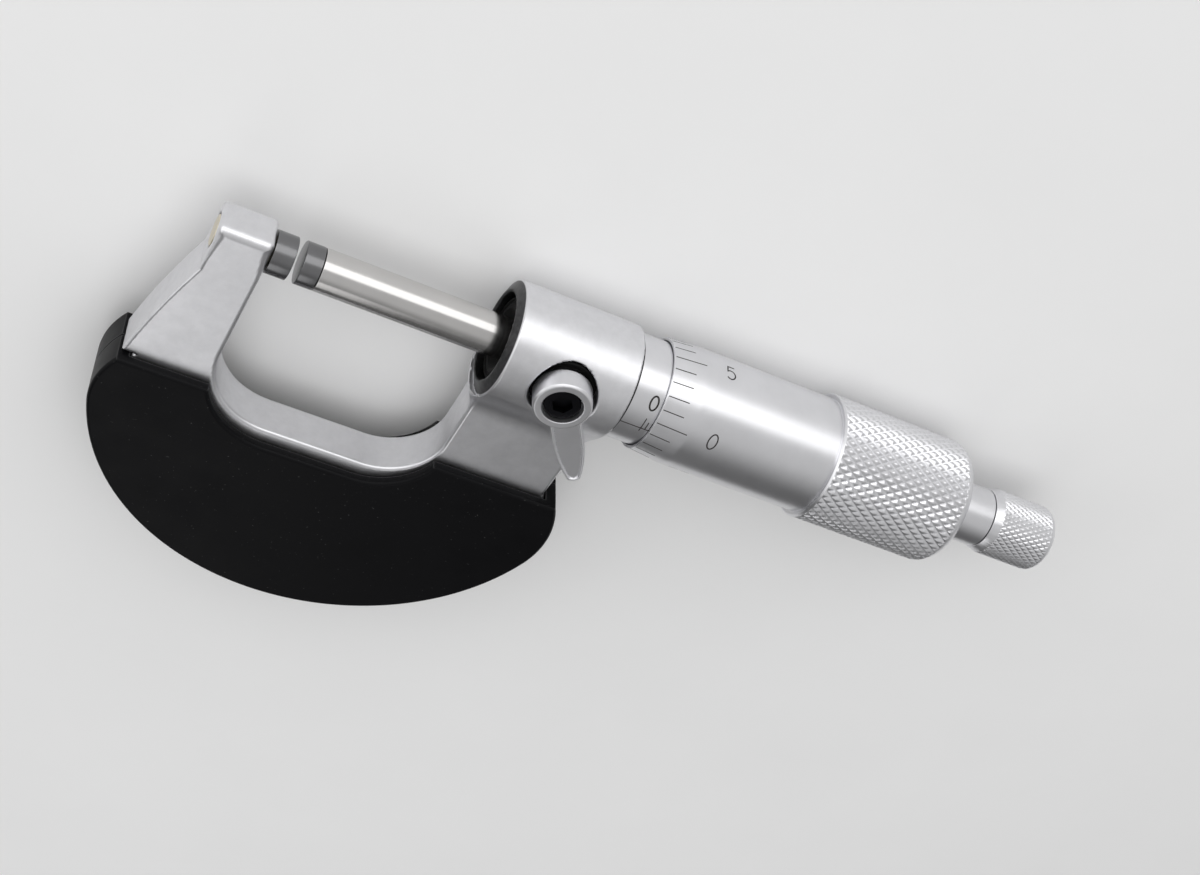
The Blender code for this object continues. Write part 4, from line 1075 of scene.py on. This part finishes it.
class MICROMETER_OT_thimble(bpy.types.Operator):
    """Builds the thimble: divided barrel and knurled grip"""

    bl_idname = "micrometer.thimble"
    bl_label = "Thimble"

    def execute(self, context):
        grip = context.scene.micrometer_grips
        scale = context.scene.micrometer_scales
        edge_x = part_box("thimble")[0].x - FACE_X
        barrel, radius = metres(9.1, 9.9)
        start, shoulder, end, chamfer = metres(84.0, 105.4, 108.5, 0.25)
        bore, step, narrow, neck = metres(8.2, 3.2, 2.4, 4.98)
        taper_end, edge_radius = metres(61.0, 8.6)
        fall = (barrel - edge_radius) / (taper_end - edge_x)
        wall, cone_start, cone_end, pocket = metres(86.0, 88.0, 100.6, 105.8)
        cone_rim, cone_wide, eased = metres(4.05, 3.9, 0.1)
        rim = start + grip.rim
        rings = knurled_end(shoulder, end, rim, radius, grip.depth, grip.period, grip.count, 0.0)
        front = (
            (start, barrel, 0),
            (taper_end, barrel, 6 * MM),
            (edge_x, edge_radius, eased),
            (edge_x, bore, 0.05 * MM),
            (wall, bore, 0),
            (wall, cone_rim, 0),
            (cone_start, cone_wide, 0),
            (cone_end, step, 0),
            (cone_end, narrow, 0),
            (pocket, narrow, 0),
            (pocket, neck, 0),
            (end, neck, 0.15 * MM),
        )
        front = ((rim, radius, 0), (start + chamfer, radius, 0), (start, radius - chamfer, 0)) + front
        rings += softened(front + ((end, radius - (end - shoulder), 0),))[:-1]
        sides = grip.count * 8
        mesh = revolved("thimble_barrel", rings, sides)
        piece = put_piece(
            "thimble_barrel", mesh, finish("turned_chrome"), "spindle_unit", ("thimble",)
        )
        shade(piece, 24.0)
        strokes = []
        divisions = 25
        first, figure_x = edge_x + 0.2 * MM, edge_x + 9.1 * MM
        long_line, short_line, figure_shift = metres(4.85, 3.25, 0.4)
        for i in range(divisions):
            round_way = math.radians(360 / divisions * (i + 1)) * barrel
            fifth = i % 5 == 0
            reach = long_line if fifth else short_line
            strokes.append(([(first, round_way), (first + reach, round_way)], scale.thimble_line))
            if fifth:
                middle = round_way + figure_shift
                figure = figure_strokes(str(i), figure_x, middle, scale.thimble_figure)
                strokes += [(path, scale.thimble_stroke) for path in figure]

        def radius_at(x):
            return barrel - fall * np.maximum(taper_end - x, 0)

        ink = finish("line_fill")
        filled_lines("thimble_scale", strokes, barrel, scale.proud, ink, "spindle_unit", radius_at)
        return {"FINISHED"}


class MICROMETER_OT_ratchet(bpy.types.Operator):
    """Builds the ratchet stop's neck and knurled knob"""

    bl_idname = "micrometer.ratchet"
    bl_label = "Ratchet stop"

    def execute(self, context):
        grip = context.scene.micrometer_grips
        sides = context.scene.micrometer_spindle.sides
        start, cone_end, shoulder, end = metres(115.2, 116.5, 125.0, 127.0)
        radius, first_radius, bore, stem, recess = metres(5.3, 4.75, 4.4, 1.9, 2.9)
        bore_end, recess_start = metres(122.0, 124.6)
        depth, period, count = grip.knob_depth, grip.knob_period, grip.knob_count
        rings = knurled_end(shoulder, end, cone_end, radius, depth, period, count, 0.12 * MM)
        inner = (
            (start, first_radius, 0.15 * MM),
            (start, bore, 0.05 * MM),
            (bore_end, bore, 0),
            (bore_end, stem, 0),
            (recess_start, stem, 0),
            (recess_start, recess, 0),
            (end, recess, 0.15 * MM),
        )
        face = (end, radius - (end - shoulder), 0)
        rings += softened(((cone_end, radius, 0),) + inner + (face,))[1:-1]
        mesh = revolved("knurled_knob", rings, grip.knob_count * 8)
        piece = put_piece(
            "knurled_knob", mesh, finish("turned_chrome"), "ratchet", ("ratchet_knob",)
        )
        shade(piece, 24.0)
        neck, rod_radius, tail_radius = metres(4.68, 1.6, 1.5)
        left, right, rod_end, rod_start = metres(107.2, 115.1, 124.3, 93.0)
        hollow_start, hollow = metres(114.1, 4.2)
        profile = (
            (rod_end, 0, 0),
            (rod_end, rod_radius, 0.1 * MM),
            (hollow_start, rod_radius, 0),
            (hollow_start, hollow, 0),
            (right, hollow, 0.05 * MM),
            (right, neck, 0.12 * MM),
            (left, neck, 0.1 * MM),
            (left, tail_radius, 0),
            (rod_start, tail_radius, 0.1 * MM),
            (rod_start, 0, 0),
        )
        chrome = finish("turned_chrome")
        turned("ratchet_neck", profile, sides, chrome, "spindle_unit", ("ratchet_body",))
        return {"FINISHED"}


class MICROMETER_OT_lock(bpy.types.Operator):
    """Builds the lock's knob and lever"""

    bl_idname = "micrometer.lock"
    bl_label = "Lock lever"

    def execute(self, context):
        size = context.scene.micrometer_lock
        root, tip, half, shoulder, tip_radius = metres(2.0, 16.1, 2.3, 8.0, 1.3)
        tongue_low, tongue_high = metres(8.86, 9.66)
        skirt, skirt_top, bottom = metres(3.4, 7.6, 5.7)
        bore, floor, stud_radius = metres(3.0, 8.6, 2.3)
        rim, overlap, waist_reach, waist_inset = metres(0.45, 1.0, 4.0, 0.36)
        round_from, lever_angle = 50, -57

        def tongue_outline(inset):
            end = (tip - tip_radius, 0, tip_radius - inset)
            side = half - inset
            joint = arc(end, round_from, round_from)[0]
            upper = [(root, side)]
            waist = (shoulder + waist_reach, side - waist_inset)
            upper += arc_through((shoulder, side), waist, joint)
            lower = [(x, -y) for x, y in reversed(upper)]
            return upper + arc(end, round_from, -round_from, step=5)[1:-1] + lower

        outline, hollow = tongue_outline(0), tongue_outline(rim)
        middle, thick = (tongue_low + tongue_high) / 2, (tongue_high - tongue_low) / 2

        def distance(x, y, z):
            out = np.hypot(x, y)
            knob_middle, knob_half = (size.knob_face + skirt_top) / 2, (size.knob_face - skirt_top) / 2
            knob = slab(out - size.knob_radius, z - knob_middle, knob_half, 0.05 * MM)
            bevel = (out + z - size.knob_radius - size.knob_face + size.edge) / math.sqrt(2)
            knob = without(knob, -bevel, 0.08 * MM)
            skirt_middle = (bottom + skirt_top + overlap) / 2
            skirt_half = (skirt_top + overlap - bottom) / 2
            solid = np.minimum(knob, slab(out - skirt, z - skirt_middle, skirt_half, 0.05 * MM))
            tongue = slab(outline_distance(x, y, outline), z - middle, thick, 0.2 * MM)
            dish = np.maximum(outline_distance(x, y, hollow), tongue_high - size.dish - z)
            dish = np.maximum(dish, size.knob_radius - out)
            tongue = without(tongue, dish, 0.3 * MM)
            solid = joined(solid, tongue, 0.35 * MM)
            solid = without(solid, np.maximum(out - bore, floor - z), 0.12 * MM)
            return np.maximum(solid, stud_radius - out)

        step = size.cell
        grid = (
            np.arange(-4.6 * MM, 16.7 * MM, step),
            np.arange(-4.6 * MM, 4.7 * MM, step),
            np.arange(5.45 * MM, 11.15 * MM, step),
        )
        place = Matrix.Translation((FACE_X + LOCK_X, LOCK_Y, 0))
        carved(
            "lock_knob",
            distance,
            grid,
            place @ Matrix.Rotation(math.radians(lever_angle), 4, "Z"),
            finish("blasted_chrome"),
            "lock",
            ("lock_lever",),
        )
        return {"FINISHED"}


class MICROMETER_OT_seals(bpy.types.Operator):
    """Builds the rubber rings of the spindle and the lock; the lock's black ring is painted shade in the
    gap round the knob
    """

    bl_idname = "micrometer.seals"
    bl_label = "Seals"

    def execute(self, context):
        sides = context.scene.micrometer_spindle.sides
        rubber = finish("seal_and_shade_rubber")
        left, right, outer, inner, lip = metres(32.0, 35.1, 6.4, 3.475, 4.675)
        groove_floor, lip_end = left + 0.3 * MM, left + 1.0 * MM
        groove_outer, floor_outer, floor_inner, groove_inner = metres(5.9, 5.75, 5.35, 5.2)
        ring = (
            (right, outer, 0.1 * MM),
            (left, outer, 0.4 * MM),
            (left, groove_outer, 0.1 * MM),
            (groove_floor, floor_outer, 0.05 * MM),
            (groove_floor, floor_inner, 0.05 * MM),
            (left, groove_inner, 0.1 * MM),
            (left, lip, 0.25 * MM),
            (lip_end, inner, 0.12 * MM),
            (right, inner, 0),
        )
        turned("spindle_seal", ring, sides, rubber, "body", ("nose_seal",))
        # Painted shade: a black ring that fills the gap round the lock knob
        low, high, outer, inner = metres(5.6, 6.7, 4.8, 3.7)
        ring = (
            (high, outer, 0.25 * MM),
            (low, outer, 0.05 * MM),
            (low, inner, 0.05 * MM),
            (high, inner, 0.25 * MM),
        )
        mesh = upright(revolved("knob_shade_ring", softened(ring), sides))
        shade(put_piece("knob_shade_ring", mesh, rubber, "body", ("lock_seal",)))
        return {"FINISHED"}


def screw_profile(top, under, end, head, shank, rounding):
    """The profile of a screw with a round head: places of its faces, its two radii and its rounding."""
    return (
        (top, 0, 0),
        (top, head, rounding),
        (under, head, 0),
        (under, shank, 0),
        (end, shank, 0.1 * MM),
        (end, 0, 0),
    )


class MICROMETER_OT_screws(bpy.types.Operator):
    """Builds the lock's socket screw and the slotted screw at the ratchet's end"""

    bl_idname = "micrometer.screws"
    bl_label = "Screws"

    def execute(self, context):
        sides = context.scene.micrometer_spindle.sides
        top, socket_radius, socket_depth = metres(10.3, 1.6, 1.0)
        profile = screw_profile(*metres(10.3, 8.8, 5.9, 2.7, 1.0, 0.3))
        solid = upright(revolved("socket_screw", softened(profile), sides))
        corners = arc((LOCK_X, LOCK_Y, socket_radius), 3, 303, step=60)
        socket = plate("socket", corners, top - socket_depth, top + socket_depth)
        mesh = cut_with(solid, [socket])
        black = finish("blackened_steel")
        shade(put_piece("socket_screw", mesh, black, "lock", ("lock_screw",)))
        top, slot_half = metres(126.1, 0.35)
        profile = screw_profile(*metres(126.1, 124.8, 119.8, 2.5, 0.7, 0.35))
        solid = revolved("end_screw", softened(profile), sides)
        deep, past, wide = top - 0.6 * MM, top + 1 * MM, 3 * MM
        corners = [(deep, -wide), (past, -wide), (past, wide), (deep, wide)]
        mesh = cut_with(solid, [plate("slot", corners, -slot_half, slot_half)])
        steel = finish("ground_steel")
        shade(put_piece("end_screw", mesh, steel, "spindle_unit", ("ratchet_screw",)))
        return {"FINISHED"}


class MICROMETER_OT_inner_pieces(bpy.types.Operator):
    """Gives the inner pieces their finishes"""

    bl_idname = "micrometer.inner_pieces"
    bl_label = "Inner pieces"

    def execute(self, context):
        named = {
            "ground_steel": (
                "spindle_nut",
                "adjusting_nut",
                "lock_stud",
                "clamp_washer",
                "ratchet_spring",
            ),
            "turned_bronze": ("lock_shoe", "ratchet_clutch"),
        }
        for look, nodes in named.items():
            for name in nodes:
                for slot in frame["nodes"][name].material_slots:
                    slot.material = finish(look)
        return {"FINISHED"}


class MICROMETER_OT_stage(bpy.types.Operator):
    """Makes the floor, the soft light and the camera"""

    bl_idname = "micrometer.stage"
    bl_label = "Floor, light and camera"

    def execute(self, context):
        look = context.scene.micrometer_finishes
        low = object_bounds()[0].z
        mesh = bpy.data.meshes.new("floor")
        reach = 2.5
        corners = [(-reach, -reach, low), (reach, -reach, low), (reach, reach, low), (-reach, reach, low)]
        mesh.from_pydata(corners, [], [(0, 1, 2, 3)])
        floor = bpy.data.objects.new("floor", mesh)
        context.scene.collection.objects.link(floor)
        floor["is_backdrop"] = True
        mesh.materials.append(self.floor_finish(look))
        self.light_world(context)
        for name, place, size, power, glossy in (
            ("window", (-0.1, 0.58, 0.26), (1.4, 0.5), 2.65, True),
            ("side", (-0.5, -0.03, 0.22), (0.56, 0.3), 0.5, True),
            ("softbox", (0.03, -0.36, 0.4), (0.2, 0.36), 0.23, True),
            ("ceiling", (0.0, 0.32, 0.85), (0.9, 0.9), 2.9, False),
        ):
            data = bpy.data.lights.new(name, "AREA")
            data.shape = "RECTANGLE"
            data.size, data.size_y = size
            data.energy = power
            lamp = bpy.data.objects.new(name, data)
            context.scene.collection.objects.link(lamp)
            lamp.location = place
            lamp.visible_glossy = glossy
            aim = Vector((0.06, 0, 0)) - Vector(place)
            lamp.rotation_euler = aim.to_track_quat("-Z", "Y").to_euler()
        self.place_camera(context)
        context.scene.view_settings.view_transform = "Standard"
        return {"FINISHED"}

    def floor_finish(self, look):
        made = Finish("pale_floor")
        clouds = made.noise(30, 4.0)
        base = look.floor
        made.put(made.shader, "Base Color", made.mixed(clouds, shaded(base, 0.98), shaded(base, 1.02)))
        made.put(made.shader, "Roughness", made.between(clouds, 0.3, 0.7, 0.6, 0.7))
        made.put(made.shader, "Specular IOR Level", 0.2)
        made.bump(made.noise(900, 3.0), 0.1, 0.05 * MM)
        return made.material

    def light_world(self, context):
        """A white studio, dim towards -Y and brighter towards +Y, and pale where the camera sees it."""
        world = bpy.data.worlds.new("studio")
        context.scene.world = world
        world.use_nodes = True
        tree = world.node_tree
        back = tree.nodes["Background"]
        aim = tree.nodes.new("ShaderNodeTexCoord").outputs["Generated"]
        parts = tree.nodes.new("ShaderNodeSeparateXYZ")
        tree.links.new(aim, parts.inputs[0])
        fade = tree.nodes.new("ShaderNodeMapRange")
        for key, value in ((1, -0.65), (2, 0.1), (3, 0.12), (4, 0.62)):
            fade.inputs[key].default_value = value
        tree.links.new(parts.outputs["Y"], fade.inputs[0])
        path = tree.nodes.new("ShaderNodeLightPath")
        seen = tree.nodes.new("ShaderNodeMix")
        tree.links.new(path.outputs["Is Camera Ray"], seen.inputs[0])
        tree.links.new(fade.outputs[0], seen.inputs[2])
        seen.inputs[3].default_value = 0.85
        tree.links.new(seen.outputs[0], back.inputs["Strength"])
        back.inputs["Color"].default_value = (1, 1, 1, 1)

    def place_camera(self, context):
        """The camera, with its place and its three directions as fitted to the object."""
        data = bpy.data.cameras.new("camera")
        data.sensor_width = 36.0
        data.lens = 58.43
        data.clip_start, data.clip_end = 0.01, 10.0
        camera = bpy.data.objects.new("camera", data)
        context.scene.collection.objects.link(camera)
        right = Vector((0.885122, 0.465024, 0.016030))
        down = Vector((0.322597, -0.638147, 0.699027))
        ahead = Vector((0.335303, -0.613591, -0.714854))
        turn = Matrix((right, -down, -ahead)).transposed()
        camera.matrix_world = Matrix.Translation(metres(-33.1236, 168.333, 209.2983)) @ turn.to_4x4()
        context.scene.camera = camera


class MICROMETER_PT_pieces(bpy.types.Panel):
    """Lists the pieces and their sizes"""

    bl_idname = "MICROMETER_PT_pieces"
    bl_label = "Outside micrometer"
    bl_space_type = "VIEW_3D"
    bl_region_type = "UI"
    bl_category = "Micrometer"

    def draw(self, context):
        for operator in OPERATORS:
            self.layout.operator(operator.bl_idname)
        for name, group in GROUPS.items():
            box = self.layout.box()
            box.label(text=group.__doc__)
            for key in group.__annotations__:
                box.prop(getattr(context.scene, name), key)


GROUPS = {
    "micrometer_frame": FrameSizes,
    "micrometer_covers": CoverSizes,
    "micrometer_spindle": SpindleSizes,
    "micrometer_scales": ScaleSizes,
    "micrometer_grips": GripSizes,
    "micrometer_lock": LockSizes,
    "micrometer_finishes": FinishColours,
}
OPERATORS = (
    MICROMETER_OT_frame,
    MICROMETER_OT_covers,
    MICROMETER_OT_spindle,
    MICROMETER_OT_sleeve,
    MICROMETER_OT_thimble,
    MICROMETER_OT_ratchet,
    MICROMETER_OT_lock,
    MICROMETER_OT_seals,
    MICROMETER_OT_screws,
    MICROMETER_OT_inner_pieces,
    MICROMETER_OT_stage,
)


def register():
    for group in GROUPS.values():
        bpy.utils.register_class(group)
    for operator in OPERATORS:
        bpy.utils.register_class(operator)
    bpy.utils.register_class(MICROMETER_PT_pieces)
    for name, group in GROUPS.items():
        setattr(bpy.types.Scene, name, bpy.props.PointerProperty(type=group))


def unregister():
    for name in GROUPS:
        delattr(bpy.types.Scene, name)
    bpy.utils.unregister_class(MICROMETER_PT_pieces)
    for made in reversed(list(GROUPS.values()) + list(OPERATORS)):
        bpy.utils.unregister_class(made)


def main():
    register()
    bpy.ops.micrometer.frame()
    bpy.ops.micrometer.covers()
    bpy.ops.micrometer.spindle()
    bpy.ops.micrometer.sleeve()
    bpy.ops.micrometer.thimble()
    bpy.ops.micrometer.ratchet()
    bpy.ops.micrometer.lock()
    bpy.ops.micrometer.seals()
    bpy.ops.micrometer.screws()
    bpy.ops.micrometer.inner_pieces()
    bpy.ops.micrometer.stage()


if __name__ == "__main__":
    main()
